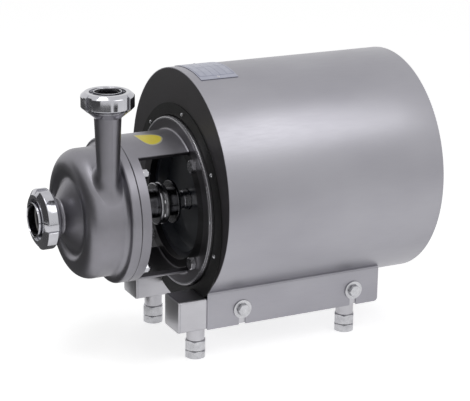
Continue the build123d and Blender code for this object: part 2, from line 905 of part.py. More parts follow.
with BuildPart() as casing_o_ring:
    groove = x_joint - ring_groove_start
    low = plate_radius - ring_groove_depth
    turn([(groove, low), (groove + ring_cord, low), (groove + ring_cord, plate_radius),
          (groove, plate_radius)], [1, 1, 1, 1])

with BuildPart() as seal_seat:
    ring(seat_start, seat_length, seat_radius, shaft_radius + 1)

with BuildPart() as seal_face:
    face_start = seat_start + seat_length + seat_gap
    ring(face_start, seal_ring_length, seal_ring_radius, shaft_radius + seat_gap)

with BuildPart() as seal_bellows:
    bellows_start = face_start + seal_ring_length
    step = bellows_length / bellows_waves
    crests = []
    for wave in range(bellows_waves):
        left = bellows_start + wave * step
        crests += [(left, seal_ring_radius - 4), (left + step / 2, seal_ring_radius - 1)]
    collar_start = bellows_start + bellows_length
    turn(
        [
            (bellows_start, shaft_radius + 1), *crests,
            (collar_start, seal_ring_radius - 4), (collar_start, seal_ring_radius),
            (collar_start + seal_collar_length, seal_ring_radius),
            (collar_start + seal_collar_length, shaft_radius + seat_gap),
            (collar_start, shaft_radius + seat_gap), (collar_start, shaft_radius + 1),
        ]
    )

# The rotor: impeller, pump shaft with its clamp, and the motor's own shaft

x_shoulder = x_impeller + 2
x_hub_front = x_shoulder - impeller_hub_length
x_vane = x_impeller - disc_thickness
x_motor_shaft = x_motor - shaft_end_length
x_hub = x_motor_shaft - hub_floor

with BuildSketch() as vane:
    with BuildLine():
        spiral = [eye_radius * (vane_tip_radius / eye_radius) ** (k / 6) for k in range(7)]
        turns = [log(radius / eye_radius) / tan(radians(vane_angle)) for radius in spiral]
        Spline(*[(r * cos(a), r * sin(a)) for r, a in zip(spiral, turns)])
    trace(line_width=vane_thickness)

with BuildPart() as impeller:
    with BuildSketch(at(x_impeller)):
        with PolarLocations(0, vane_count):
            add(vane.sketch)
    extrude(amount=-disc_thickness - vane_depth_eye)
    # The vanes' front edges follow the casing, and their tips end at the rim
    turn(
        [
            (x_vane - vane_depth_eye - 1, eye_radius + vane_entry),
            (x_vane - vane_depth_eye, eye_radius + vane_entry),
            (x_vane - vane_depth_middle, valley_radius),
            (x_vane - vane_depth_rim, impeller_radius),
            (x_impeller, impeller_radius),
            (x_impeller, impeller_radius + 10),
            (x_vane - vane_depth_eye - 1, impeller_radius + 10),
        ],
        mode=Mode.SUBTRACT,
    )
    turn(
        [
            (x_shoulder, impeller_shaft_radius + seat_gap), (x_shoulder, impeller_hub_radius),
            (x_impeller, impeller_hub_radius), (x_impeller, impeller_radius),
            (x_vane, impeller_radius), (x_vane, impeller_hub_radius + 8),
            (x_vane - 8, impeller_hub_radius), (x_hub_front, impeller_hub_radius - 2),
            (x_hub_front, impeller_shaft_radius + seat_gap),
        ]
    )

with BuildPart() as impeller_nut:
    tip = x_hub_front - impeller_nut_length
    turn(
        [
            (x_hub_front, 0), (x_hub_front, impeller_nut_radius),
            (x_hub_front - 5, impeller_nut_radius), (tip, 7), (tip, 0),
        ],
        [0, 0, 5, 4, 0],
    )
    ring(tip + 5, impeller_nut_length, impeller_shaft_radius + seat_gap, 0, mode=Mode.SUBTRACT)

with BuildPart() as pump_shaft:
    shaft_tip = x_hub_front - impeller_nut_length + 5 + seat_gap
    turn(
        [
            (shaft_tip, 0), (shaft_tip, impeller_shaft_radius), (x_shoulder, impeller_shaft_radius),
            (x_shoulder, shaft_radius), (x_hub, shaft_radius), (x_hub, hub_radius),
            (x_hub + hub_length, hub_radius), (x_hub + hub_length, shaft_end_radius + seat_gap),
            (x_motor_shaft, shaft_end_radius + seat_gap), (x_motor_shaft, 0),
        ]
    )
    # Slits let the clamp collar close the hub on the motor shaft
    with Locations((x_hub + hub_length, 0, shaft_z)):
        Box(hub_length - 14, 2 * hub_radius + 2, 2, align=(Align.MAX, Align.CENTER, Align.CENTER),
            mode=Mode.SUBTRACT)

x_clamp = x_hub + clamp_inset - 2
with BuildPart() as clamp_collar:
    ring(x_clamp, clamp_length, clamp_radius, hub_radius + seat_gap)
    with Locations((x_clamp, 0, shaft_z)):
        Box(clamp_length, 2 * clamp_radius + 2, 2,
            align=(Align.MIN, Align.CENTER, Align.CENTER), mode=Mode.SUBTRACT)
    clamp_screw_y = (clamp_radius + hub_radius) / 2
    for side in (-1, 1):
        with Locations((x_clamp + clamp_length / 2, side * clamp_screw_y, shaft_z)):
            Cylinder(clamp_screw_radius + seat_gap, 2 * clamp_screw_reach, mode=Mode.SUBTRACT)

with BuildPart() as collar_screws:
    for side in (-1, 1):
        with Locations((x_clamp + clamp_length / 2, side * clamp_screw_y, shaft_z)):
            Cylinder(clamp_screw_radius, 2 * clamp_screw_reach)

with BuildPart() as slinger_disc:
    ring(x_hub + hub_length, slinger_thickness, slinger_radius, shaft_end_radius + seat_gap)

with BuildPart() as motor_shaft:
    turn(
        [
            (x_motor_shaft, 0), (x_motor_shaft, shaft_end_radius), (x_motor, shaft_end_radius),
            (x_motor, bearing_bore - seat_gap),
            (x_bearing_front + bearing_width, bearing_bore - seat_gap),
            (x_bearing_front + bearing_width, core_shaft_radius),
            (x_bearing_rear, core_shaft_radius), (x_bearing_rear, bearing_bore - seat_gap),
            (x_bearing_rear + bearing_width, bearing_bore - seat_gap),
            (x_bearing_rear + bearing_width, fan_shaft_radius),
            (x_housing_end + fan_start + fan_width + 4, fan_shaft_radius),
            (x_housing_end + fan_start + fan_width + 4, 0),
        ]
    )

with BuildPart() as rotor_core:
    ring(x_core, core_length, core_radius, core_shaft_radius + seat_gap)
    ring(x_core - 12, 12, core_radius - 4, core_shaft_radius + 12)
    ring(x_core + core_length, 12, core_radius - 4, core_shaft_radius + 12)

bearing_starts = (x_bearing_front, x_bearing_rear)
ball_circle = (bearing_bore + bearing_radius) / 2


def cut_raceway(x):
    with BuildSketch(Plane(origin=(0, 0, shaft_z), x_dir=(1, 0, 0), z_dir=(0, -1, 0))) as track:
        with Locations((x + bearing_width / 2, ball_circle)):
            Circle(ball_radius + running_gap)
    revolve(track.sketch, axis=Axis((0, 0, shaft_z), (1, 0, 0)), mode=Mode.SUBTRACT)


with BuildPart() as bearing_inner_rings:
    for x in bearing_starts:
        ring(x, bearing_width, bearing_bore + bearing_ring, bearing_bore)
        cut_raceway(x)

with BuildPart() as bearing_outer_rings:
    for x in bearing_starts:
        ring(x, bearing_width, bearing_radius, bearing_radius - bearing_ring)
        cut_raceway(x)

with BuildPart() as bearing_balls:
    for x in bearing_starts:
        with Locations(at(x + bearing_width / 2)):
            with PolarLocations(ball_circle, ball_count):
                Sphere(ball_radius)

with BuildPart() as cooling_fan:
    x_fan = x_housing_end + fan_start
    ring(x_fan, fan_width, fan_hub_radius, fan_shaft_radius + seat_gap)
    ring(x_fan, fan_disc, fan_radius, fan_hub_radius - 1)
    with BuildSketch(at(x_fan)):
        with PolarLocations((fan_radius + fan_hub_radius) / 2, fan_blades):
            Rectangle(fan_radius - fan_hub_radius + 1, fan_disc)
    extrude(amount=fan_width)

# The motor's fixed parts

with BuildPart() as front_end_shield:
    turn(
        [
            (x_motor - spigot_length, spigot_radius - 10), (x_motor - spigot_length, spigot_radius),
            (x_motor, spigot_radius), (x_motor, motor_plate_radius),
            (x_motor + motor_plate_thickness, motor_plate_radius),
            (x_motor + motor_plate_thickness, housing_radius), (x_housing, housing_radius),
            (x_housing, housing_inner - seat_gap), (x_housing + 4, housing_inner - seat_gap),
            (x_housing + 4, housing_inner - 8), (x_bearing_front + 1, housing_inner - 8),
            (x_bearing_front + 1, bearing_radius + 9),
            (x_bearing_front + bearing_seat_length, bearing_radius + 9),
            (x_bearing_front + bearing_seat_length, bearing_radius + seat_gap),
            (x_bearing_front, bearing_radius + seat_gap), (x_bearing_front, bearing_bore + 1.5),
            (x_motor + 10, bearing_bore + 1.5), (x_motor + 10, housing_inner - 6),
        ]
    )
    with BuildSketch(at(x_motor)):
        with PolarLocations(flange_bolt_circle_radius, 4, 45):
            Circle(flange_bolt_radius + bolt_gap)
    extrude(amount=motor_plate_thickness, mode=Mode.SUBTRACT)

with BuildPart() as rear_end_shield:
    turn(
        [
            (x_housing_end - 4, housing_inner - 6), (x_housing_end - 4, housing_inner - seat_gap),
            (x_housing_end, housing_inner - seat_gap), (x_housing_end, fan_cover_inner - seat_gap),
            (x_housing_end + 8, fan_cover_inner - seat_gap), (x_housing_end + 8, bearing_radius + 9),
            (x_bearing_rear + bearing_width + 4, bearing_radius + 9),
            (x_bearing_rear + bearing_width + 4, fan_shaft_radius + 1.5),
            (x_bearing_rear + bearing_width, fan_shaft_radius + 1.5),
            (x_bearing_rear + bearing_width, bearing_radius + seat_gap),
            (x_housing_end, bearing_radius + seat_gap), (x_housing_end, housing_inner - 6),
        ]
    )

with BuildPart() as motor_housing:
    ring(x_housing, housing_length, housing_radius, housing_inner)
    with BuildSketch(at(x_housing)):
        with PolarLocations((housing_radius + fin_radius) / 2, fin_count, 180 / fin_count):
            Rectangle(fin_radius - housing_radius + 4, fin_thickness)
    extrude(amount=housing_length)
    # The pad under the terminal box
    with Locations((x_terminal, 0, shaft_z + housing_radius + pad_rise)):
        Box(terminal_box_size + 4, terminal_box_size + 4, pad_cut_height, mode=Mode.SUBTRACT,
            align=(Align.CENTER, Align.CENTER, Align.MIN))
        Box(terminal_box_size, terminal_box_size, housing_wall + pad_rise,
            align=(Align.CENTER, Align.CENTER, Align.MAX))
    # Feet: a plate on each riser, and a leg that runs up to the housing
    with Locations((riser_x, -foot_half_gauge, riser_top), (riser_x, foot_half_gauge, riser_top)):
        Box(foot_length, foot_width, foot_plate, align=(Align.CENTER, Align.CENTER, Align.MIN))
    for side in (-1, 1):
        with Locations((riser_x, side * foot_leg_y, riser_top)):
            Box(foot_length, foot_leg, motor_foot_height - foot_leg_top,
                align=(Align.CENTER, Align.CENTER, Align.MIN))
    ring(x_housing, housing_length, housing_inner, 0, mode=Mode.SUBTRACT)
    with Locations(*[(x, y, riser_top) for x, y in stud_places]):
        Cylinder(foot_stud_radius + bolt_gap, 4 * foot_plate, mode=Mode.SUBTRACT)

with BuildPart() as stator_core:
    ring(x_core, core_length, housing_inner, core_radius + air_gap)

with BuildPart() as stator_winding:
    for x in (x_core - winding_length, x_core + core_length):
        turn(
            [(x, winding_inner), (x + winding_length, winding_inner),
             (x + winding_length, winding_outer), (x, winding_outer)],
            [4, 4, 4, 4],
        )

with BuildPart() as fan_cover:
    turn(
        [
            (x_housing_end, fan_cover_inner), (x_housing_end, fan_cover_inner + fan_cover_sheet),
            (x_housing_end + fan_cover_length, fan_cover_inner + fan_cover_sheet),
            (x_housing_end + fan_cover_length, 0),
            (x_housing_end + fan_cover_length - fan_cover_sheet, 0),
            (x_housing_end + fan_cover_length - fan_cover_sheet, fan_cover_inner),
        ],
        [0, 0, 8, 0, 0, 6],
    )
    with BuildSketch(at(x_housing_end + fan_cover_length - fan_cover_sheet)):
        with PolarLocations(fan_cover_inner / 2, fan_slots):
            SlotOverall(fan_cover_inner / 2, fan_slot_width)
    extrude(amount=fan_cover_sheet, mode=Mode.SUBTRACT)

terminal_z = shaft_z + housing_radius + pad_rise
with BuildPart() as terminal_box:
    with Locations((x_terminal, 0, terminal_z)):
        Box(terminal_box_size, terminal_box_size, terminal_box_height,
            align=(Align.CENTER, Align.CENTER, Align.MIN))
    fillet(terminal_box.edges().filter_by(Axis.Z), 8)
    inside = terminal_box_size - 8
    with Locations((x_terminal, 0, terminal_z + 4)):
        Box(inside, inside, terminal_box_height, align=(Align.CENTER, Align.CENTER, Align.MIN),
            mode=Mode.SUBTRACT)

with BuildPart() as terminal_lid:
    with Locations((x_terminal, 0, terminal_z + terminal_box_height)):
        Box(terminal_box_size, terminal_box_size, 5, align=(Align.CENTER, Align.CENTER, Align.MIN))
    fillet(terminal_lid.edges().filter_by(Axis.Z), 8)
    fillet(terminal_lid.faces().sort_by(Axis.Z)[-1].edges(), 2)

parts = {
    "base_rails": base_rails,
    "rail_end_caps": rail_end_caps,
    "cross_bars": cross_bars,
    "foot_bosses": foot_bosses,
    "foot_lock_nuts": foot_lock_nuts,
    "motor_risers": motor_risers,
    "motor_foot_bolts": motor_foot_bolts,
    "motor_foot_nuts": motor_foot_nuts,
    "shroud": shroud,
    "skirt_washers": skirt_washers,
    "skirt_bolts": skirt_bolts,
    "front_plate": front_plate,
    "closing_ring": closing_ring,
    "ring_screws": ring_screws,
    "rear_cover": rear_cover,
    "cable_gland": cable_gland,
    "rating_plate": rating_plate,
    "plate_rivets": plate_rivets,
    "lantern": lantern,
    "flange_bolts": flange_bolts,
    "flange_nuts": flange_nuts,
    "pump_casing": pump_casing,
    "casing_washers": casing_washers,
    "casing_dome_nuts": casing_dome_nuts,
    "casing_studs": casing_studs,
    "suction_liner": suction_liner,
    "suction_gasket": suction_gasket,
    "suction_nut": suction_nut,
    "discharge_liner": discharge_liner,
    "discharge_gasket": discharge_gasket,
    "discharge_nut": discharge_nut,
    "back_plate": back_plate,
    "casing_o_ring": casing_o_ring,
    "seal_seat": seal_seat,
    "seal_face": seal_face,
    "seal_bellows": seal_bellows,
    "impeller": impeller,
    "impeller_nut": impeller_nut,
    "pump_shaft": pump_shaft,
    "clamp_collar": clamp_collar,
    "collar_screws": collar_screws,
    "slinger_disc": slinger_disc,
    "motor_shaft": motor_shaft,
    "rotor_core": rotor_core,
    "bearing_inner_rings": bearing_inner_rings,
    "bearing_outer_rings": bearing_outer_rings,
    "bearing_balls": bearing_balls,
    "cooling_fan": cooling_fan,
    "front_end_shield": front_end_shield,
    "rear_end_shield": rear_end_shield,
    "motor_housing": motor_housing,
    "stator_core": stator_core,
    "stator_winding": stator_winding,
    "fan_cover": fan_cover,
    "terminal_box": terminal_box,
    "terminal_lid": terminal_lid,
    "foot_bolt_1": foot_bolts[0],
    "foot_bolt_2": foot_bolts[1],
    "foot_bolt_3": foot_bolts[2],
    "foot_bolt_4": foot_bolts[3],
}
for name, built in parts.items():
    built.part.label = name
    export_step(built.part, f"parts/{name}.step")
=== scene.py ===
import json
import math

import bmesh
import bpy
from mathutils import Matrix, Vector


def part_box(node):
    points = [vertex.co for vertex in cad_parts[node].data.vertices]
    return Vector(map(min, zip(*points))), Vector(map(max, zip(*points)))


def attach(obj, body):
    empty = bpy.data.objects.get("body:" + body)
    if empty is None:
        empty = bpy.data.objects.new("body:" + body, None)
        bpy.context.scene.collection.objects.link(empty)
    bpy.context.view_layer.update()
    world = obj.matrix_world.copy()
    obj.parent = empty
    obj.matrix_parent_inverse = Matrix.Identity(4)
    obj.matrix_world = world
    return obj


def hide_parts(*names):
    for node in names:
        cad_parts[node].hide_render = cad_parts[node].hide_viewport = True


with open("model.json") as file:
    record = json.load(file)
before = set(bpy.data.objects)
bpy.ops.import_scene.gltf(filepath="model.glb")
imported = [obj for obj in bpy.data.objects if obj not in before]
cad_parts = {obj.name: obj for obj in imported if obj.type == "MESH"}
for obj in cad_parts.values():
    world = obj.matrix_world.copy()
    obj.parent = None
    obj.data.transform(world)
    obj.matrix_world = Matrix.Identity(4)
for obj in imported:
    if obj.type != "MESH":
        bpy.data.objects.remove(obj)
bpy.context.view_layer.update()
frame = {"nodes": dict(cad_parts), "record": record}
nodes = frame["nodes"]

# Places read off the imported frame, in millimetres. Profiles and sizes below are in millimetres too.
MM = 0.001


def corners(node):
    return [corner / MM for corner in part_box(node)]


shroud_low, shroud_high = corners("shroud")
X_FRONT, X_REAR = shroud_low.x, shroud_high.x
SHROUD_R = (shroud_high.y - shroud_low.y) / 2
SHROUD_Z = shroud_high.z - SHROUD_R
SUCTION_LOW, SUCTION_HIGH = corners("suction_nut")
SHAFT_Z = (SUCTION_LOW.z + SUCTION_HIGH.z) / 2
DISCHARGE_LOW, DISCHARGE_HIGH = corners("discharge_nut")
X_PIPE = (DISCHARGE_LOW.x + DISCHARGE_HIGH.x) / 2
Y_PIPE = (DISCHARGE_LOW.y + DISCHARGE_HIGH.y) / 2
LANTERN_LOW, LANTERN_HIGH = corners("lantern")
X_JOINT = LANTERN_LOW.x
CAP_LOW, CAP_HIGH = corners("rail_end_caps")
RAIL_BOTTOM, RAIL_TOP = CAP_LOW.z, CAP_HIGH.z
X_RAIL, X_RAIL_END = CAP_LOW.x, CAP_HIGH.x
RAIL_Z = (RAIL_BOTTOM + RAIL_TOP) / 2
RAIL_SIZE = RAIL_TOP - RAIL_BOTTOM
RAIL_Y = CAP_HIGH.y - RAIL_SIZE / 2

NEAR, FAR = -1, 1
X, Y, Z = Vector((1, 0, 0)), Vector((0, 1, 0)), Vector((0, 0, 1))


# Meshes

def to_piece(name, bm, material, body, smooth_angle=32.0, replaces=()):
    """Turns a bmesh into a piece that rides on a body."""
    bmesh.ops.remove_doubles(bm, verts=bm.verts, dist=1e-7)
    bmesh.ops.recalc_face_normals(bm, faces=bm.faces)
    mesh = bpy.data.meshes.new(name)
    bm.to_mesh(mesh)
    bm.free()
    for polygon in mesh.polygons:
        polygon.use_smooth = True
    mesh.set_sharp_from_angle(angle=math.radians(smooth_angle))
    piece = bpy.data.objects.new(name, mesh)
    bpy.context.scene.collection.objects.link(piece)
    mesh.materials.append(material)
    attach(piece, body)
    if replaces:
        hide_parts(*replaces)
    return piece


def place_at(origin, axis, radial):
    """A place in millimetres: its z runs along the axis and its x along the radial direction."""
    z = Vector(axis).normalized()
    x = Vector(radial).normalized()
    matrix = Matrix((x, z.cross(x), z)).transposed().to_4x4()
    matrix.translation = Vector(origin)
    return Matrix.Scale(MM, 4) @ matrix


def at_shaft(x, z=None):
    """Square to the shaft at x. Angles start at the top and run towards the near side."""
    return place_at((x, 0, SHAFT_Z if z is None else z), X, Z)


def upright(x, y, z):
    return place_at((x, y, z), Z, X)


def bridge(bm, rows, closed_rows, closed_columns, caps=False):
    """Faces between neighbouring rows of points."""
    count = len(rows[0])
    for k in range(len(rows) if closed_rows else len(rows) - 1):
        one, two = rows[k], rows[(k + 1) % len(rows)]
        for i in range(count if closed_columns else count - 1):
            j = (i + 1) % count
            bm.faces.new([one[i], one[j], two[j], two[i]])
    if caps:
        bm.faces.new(rows[0])
        bm.faces.new(rows[-1])


def ring_points(bm, place, angle, profile):
    c, s = math.cos(angle), math.sin(angle)
    return [bm.verts.new(place @ Vector((r * c, r * s, d))) for d, r in profile]


def lathe(bm, profile, place, segments=128, start=0.0, sweep=360.0, closed=True):
    """Turns (distance along, radius) points about the place's axis, all round or part of the way."""
    whole = sweep >= 360
    steps = segments if whole else max(2, round(segments * sweep / 360)) + 1
    count = segments if whole else steps - 1
    profile = [(d, max(r, 1e-3)) for d, r in profile]
    rows = [
        ring_points(bm, place, math.radians(start + sweep * k / count), profile) for k in range(steps)
    ]
    bridge(bm, rows, whole, closed, caps=closed and not whole)


def rounded(points, steps=5):
    """Rounds the corners of a closed (distance, radius, rounding) outline."""
    out = []
    count = len(points)
    for i, (d, r, rounding) in enumerate(points):
        here = Vector((d, r))
        if rounding <= 0:
            out.append((d, r))
            continue
        before = Vector(points[i - 1][:2]) - here
        after = Vector(points[(i + 1) % count][:2]) - here
        half = before.angle(after) / 2
        reach = min(rounding / math.tan(half), before.length * 0.49, after.length * 0.49)
        start = here + before.normalized() * reach
        end = here + after.normalized() * reach
        for k in range(steps + 1):
            t = k / steps
            p = start * (1 - t) ** 2 + here * 2 * t * (1 - t) + end * t**2
            out.append((p.x, p.y))
    return out


def slotted(bm, profile, place, starts, sweep, floor, segments=144):
    """A turned profile with slots cut along it, down to the floor radius."""
    edge = 0.7
    stations = [(360 * k / segments, None) for k in range(segments)]
    for start in starts:
        end = start + sweep
        stations = [s for s in stations if not (start - 1) % 360 < s[0] < (start - 1) % 360 + sweep + 2
                    and not (start - 1) % 360 < s[0] + 360 < (start - 1) % 360 + sweep + 2]
        limits = [(start - edge, 0), (start - 0.01, 0.5), (start, floor), (start + 0.4, floor)]
        limits += [(start + sweep * k / 6, floor) for k in range(1, 6)]
        limits += [(end - 0.4, floor), (end, floor), (end + 0.01, 0.5), (end + edge, 0)]
        stations += [(a % 360, v) for a, v in limits]
    top = max(r for d, r in profile)
    rows = []
    for angle, value in sorted(stations, key=lambda s: s[0]):
        limit = top if not value else (top - value if value < 1 else value)
        cut = [(d, min(r, limit)) for d, r in profile]
        rows.append(ring_points(bm, place, math.radians(angle), cut))
    bridge(bm, rows, True, True)


def hex_radius(angle, flats):
    """The distance from a hexagon's middle to its side in that direction."""
    third = math.pi / 3
    return flats / 2 / math.cos((angle % third) - third / 2)


def hexagon_head(bm, place, flats, height, top=True, low=False, hole=0.0, face=0.0, dome=0.0):
    """A hexagon on the place's xy plane, with the curved chamfers that turning gives it."""
    segments = 96
    slope = math.tan(math.radians(30))
    free = flats / 2 * 0.96
    soft = flats * 0.012
    inner = max(hole, 1e-3)
    rows = []
    for k in range(segments):
        a = 2 * math.pi * k / segments
        r = hex_radius(a, flats)
        corner = (r - flats / 2) / (flats * 0.0774)
        r -= soft * max(0.0, corner) ** 3
        cut = max(0.0, r - free) * slope
        outline = [(0.0, inner)]
        if face:
            outline += [(0.0, free), (face, free)]
        if low:
            outline += [(face, free), (face + cut, r)]
        else:
            outline += [(face, r - soft), (face + soft, r)]
        if top:
            outline += [(height - cut, r), (height, free)]
        else:
            outline += [(height, r)]
        if dome:
            outline += [
                (height + dome * math.sin(t), free * 0.93 * math.cos(t) + inner * math.sin(t))
                for t in [math.pi / 2 * i / 8 for i in range(9)]
            ]
        outline += [(height + dome, inner)]
        rows.append(ring_points(bm, place, a, outline))
    bridge(bm, rows, True, True)


def threaded(bm, place, radius, length, pitch, depth):
    """A threaded rod: its radius follows a helix."""
    around = 48
    along = max(8, int(length / pitch * 8))
    rows = []
    for k in range(along + 1):
        d = length * k / along
        row = []
        for i in range(around):
            turn = (d / pitch - i / around) % 1
            height = abs(2 * turn - 1)
            a = 2 * math.pi * i / around
            r = radius - depth * (1 - height)
            row.append(bm.verts.new(place @ Vector((r * math.cos(a), r * math.sin(a), d))))
        rows.append(row)
    bridge(bm, rows, False, True, caps=True)


def bead(bm, path, size, closed=True, ripple=0.12, pitch=2.2, sides=10):
    """A weld bead: a rounded cord along points, each with its outward direction, with a fine ripple."""
    rows = []
    run = 0.0
    count = len(path)
    for k, (point, out) in enumerate(path):
        after = path[(k + 1) % count][0] if closed or k < count - 1 else point
        before = path[k - 1][0] if closed or k > 0 else point
        along = (after - before).normalized()
        side = along.cross(out).normalized()
        run += (point - path[k - 1][0]).length if k else 0.0
        swell = size * (1 + ripple * math.sin(2 * math.pi * run / pitch))
        rows.append([
            bm.verts.new((point + (out * math.cos(a) + side * math.sin(a)) * swell) * MM)
            for a in [2 * math.pi * i / sides for i in range(sides)]
        ])
    bridge(bm, rows, closed, True, caps=not closed)


def ring_path(origin, axis, radial, radius, tilt=0.7, steps=180):
    """The points of a circle, with directions that lean out from its axis."""
    axis, radial = Vector(axis), Vector(radial)
    other = axis.cross(radial)
    path = []
    for k in range(steps):
        a = 2 * math.pi * k / steps
        out = radial * math.cos(a) + other * math.sin(a)
        path.append((Vector(origin) + out * radius, (out * tilt + axis * (1 - tilt)).normalized()))
    return path


def plate(bm, outline, matrix, thickness, bevel=0.0, segments=3):
    """A flat outline in the matrix's xy plane, thickened along its z, with softened edges."""
    low = [bm.verts.new(matrix @ Vector((x, y, 0))) for x, y in outline]
    high = [bm.verts.new(matrix @ Vector((x, y, thickness))) for x, y in outline]
    made = [bm.faces.new(low), bm.faces.new(high)]
    count = len(outline)
    for i in range(count):
        j = (i + 1) % count
        made.append(bm.faces.new([low[i], low[j], high[j], high[i]]))
    if bevel:
        bm.normal_update()
        bmesh.ops.recalc_face_normals(bm, faces=made)
        edges = {e for f in made for e in f.edges if e.calc_face_angle(0) > math.radians(40)}
        bmesh.ops.bevel(
            bm, geom=list(edges), offset=bevel * MM, segments=segments, profile=0.5, affect="EDGES",
            clamp_overlap=True,
        )


def arc(cx, cy, radius, start, end, steps=8):
    """Points of an arc, from one angle to the other, in degrees."""
    return [
        (cx + radius * math.cos(math.radians(start + (end - start) * k / steps)),
         cy + radius * math.sin(math.radians(start + (end - start) * k / steps)))
        for k in range(steps + 1)
    ]


def rounded_square(size, radius):
    h = size / 2 - radius
    return (arc(h, h, radius, 0, 90) + arc(-h, h, radius, 90, 180) + arc(-h, -h, radius, 180, 270)
            + arc(h, -h, radius, 270, 360))


# Materials

def material(name):
    """A new material with its node tree, shader and an object coordinate node."""
    mat = bpy.data.materials.new(name)
    mat.use_nodes = True
    tree = mat.node_tree
    shader = tree.nodes["Principled BSDF"]
    where = tree.nodes.new("ShaderNodeTexCoord")
    return mat, tree, shader, where


def noise_node(tree, where, scale, stretch=(1, 1, 1), detail=3.0, rough=0.5):
    mapping = tree.nodes.new("ShaderNodeMapping")
    mapping.inputs["Scale"].default_value = stretch
    tree.links.new(where.outputs["Object"], mapping.inputs["Vector"])
    tex = tree.nodes.new("ShaderNodeTexNoise")
    tex.inputs["Scale"].default_value = scale
    tex.inputs["Detail"].default_value = detail
    tex.inputs["Roughness"].default_value = rough
    tree.links.new(mapping.outputs["Vector"], tex.inputs["Vector"])
    return tex.outputs["Fac"]


def spread(tree, value, low, high, start=0.3, end=0.7):
    """Maps a noise value to a range."""
    node = tree.nodes.new("ShaderNodeMapRange")
    node.inputs["From Min"].default_value = start
    node.inputs["From Max"].default_value = end
    node.inputs["To Min"].default_value = low
    node.inputs["To Max"].default_value = high
    tree.links.new(value, node.inputs["Value"])
    return node.outputs["Result"]


def two_tone(tree, value, first, second):
    mix = tree.nodes.new("ShaderNodeMix")
    mix.data_type = "RGBA"
    mix.inputs["A"].default_value = (*first, 1)
    mix.inputs["B"].default_value = (*second, 1)
    tree.links.new(value, mix.inputs["Factor"])
    return mix.outputs["Result"]


def bump(tree, shader, value, strength, distance):
    node = tree.nodes.new("ShaderNodeBump")
    node.inputs["Strength"].default_value = strength
    node.inputs["Distance"].default_value = distance
    tree.links.new(value, node.inputs["Height"])
    tree.links.new(node.outputs["Normal"], shader.inputs["Normal"])


def metal(name, light, dark, rough, scale=6.0, stretch=(1, 1, 1), grain=400.0, grain_stretch=(1, 1, 1),
          relief=0.15):
    """Bare metal: slow colour clouds, and a fine grain in roughness and relief."""
    mat, tree, shader, where = material(name)
    shader.inputs["Metallic"].default_value = 1.0
    clouds = noise_node(tree, where, scale, stretch)
    fine = noise_node(tree, where, grain, grain_stretch, detail=2.0)
    tree.links.new(two_tone(tree, spread(tree, clouds, 0, 1), light, dark), shader.inputs["Base Color"])
    tree.links.new(spread(tree, fine, rough[0], rough[1]), shader.inputs["Roughness"])
    bump(tree, shader, fine, relief, 0.0004)
    return mat


def plain(name, light, dark, rough, scale=40.0, grain=600.0, relief=0.1, metallic=0.0, coat=0.0,
          specular=0.5):
    """Paint, plastic or rubber."""
    mat, tree, shader, where = material(name)
    shader.inputs["Metallic"].default_value = metallic
    shader.inputs["Specular IOR Level"].default_value = specular
    clouds = noise_node(tree, where, scale)
    fine = noise_node(tree, where, grain, detail=2.0)
    tree.links.new(two_tone(tree, spread(tree, clouds, 0, 1), light, dark), shader.inputs["Base Color"])
    tree.links.new(spread(tree, fine, rough[0], rough[1]), shader.inputs["Roughness"])
    shader.inputs["Coat Weight"].default_value = coat
    bump(tree, shader, fine, relief, 0.0003)
    return mat


BRUSHED = metal("brushed_sheet", (0.36, 0.355, 0.385), (0.31, 0.305, 0.335), (0.34, 0.42), scale=5.0,
                stretch=(1.0, 1.6, 1.6), grain=900.0, grain_stretch=(0.05, 1, 1), relief=0.12)
SATIN = metal("satin_steel", (0.25, 0.245, 0.27), (0.21, 0.205, 0.225), (0.34, 0.44), scale=18.0,
              grain=1800.0, relief=0.10)
MACHINED = metal("machined_steel", (0.42, 0.42, 0.44), (0.34, 0.34, 0.36), (0.24, 0.32), scale=60.0,
                 grain=1500.0, relief=0.05)
POLISHED = metal("polished_steel", (0.50, 0.50, 0.53), (0.44, 0.44, 0.47), (0.09, 0.15), scale=60.0,
                 grain=700.0, grain_stretch=(1, 1, 0.1), relief=0.02)
BOLT = metal("bolt_steel", (0.55, 0.55, 0.57), (0.43, 0.43, 0.45), (0.20, 0.32), scale=120.0, grain=1500.0,
             relief=0.08)
RAIL = metal("rail_steel", (0.52, 0.515, 0.54), (0.44, 0.435, 0.46), (0.28, 0.38), scale=14.0, grain=900.0,
             grain_stretch=(0.06, 1, 1), relief=0.10)
WELD = metal("weld_bead", (0.34, 0.335, 0.36), (0.22, 0.215, 0.24), (0.30, 0.45), scale=220.0, grain=900.0,
             relief=0.2)
DARK_PLATE = plain("dark_plate", (0.040, 0.037, 0.041), (0.032, 0.030, 0.033), (0.38, 0.46), scale=20.0,
                   relief=0.05, specular=0.35)
BLACK_RING = plain("black_ring", (0.008, 0.008, 0.008), (0.005, 0.005, 0.005), (0.45, 0.6), specular=0.3)
MOTOR_PAINT = plain("motor_paint", (0.035, 0.04, 0.055), (0.028, 0.033, 0.045), (0.30, 0.42), coat=0.2)
DARK_CORE = metal("dark_core", (0.12, 0.12, 0.13), (0.09, 0.09, 0.10), (0.4, 0.5), grain_stretch=(20, 1, 1))
COPPER = plain("copper_winding", (0.40, 0.15, 0.05), (0.30, 0.10, 0.03), (0.25, 0.40), scale=200.0, coat=0.4)
RUBBER = plain("seal_rubber", (0.020, 0.020, 0.021), (0.014, 0.014, 0.015), (0.5, 0.7))
GASKET = plain("white_gasket", (0.70, 0.70, 0.67), (0.62, 0.62, 0.60), (0.45, 0.6))
CARBON = plain("seal_carbon", (0.03, 0.03, 0.034), (0.022, 0.022, 0.026), (0.2, 0.3))
CERAMIC = plain("seal_ceramic", (0.78, 0.77, 0.72), (0.72, 0.71, 0.66), (0.15, 0.25))
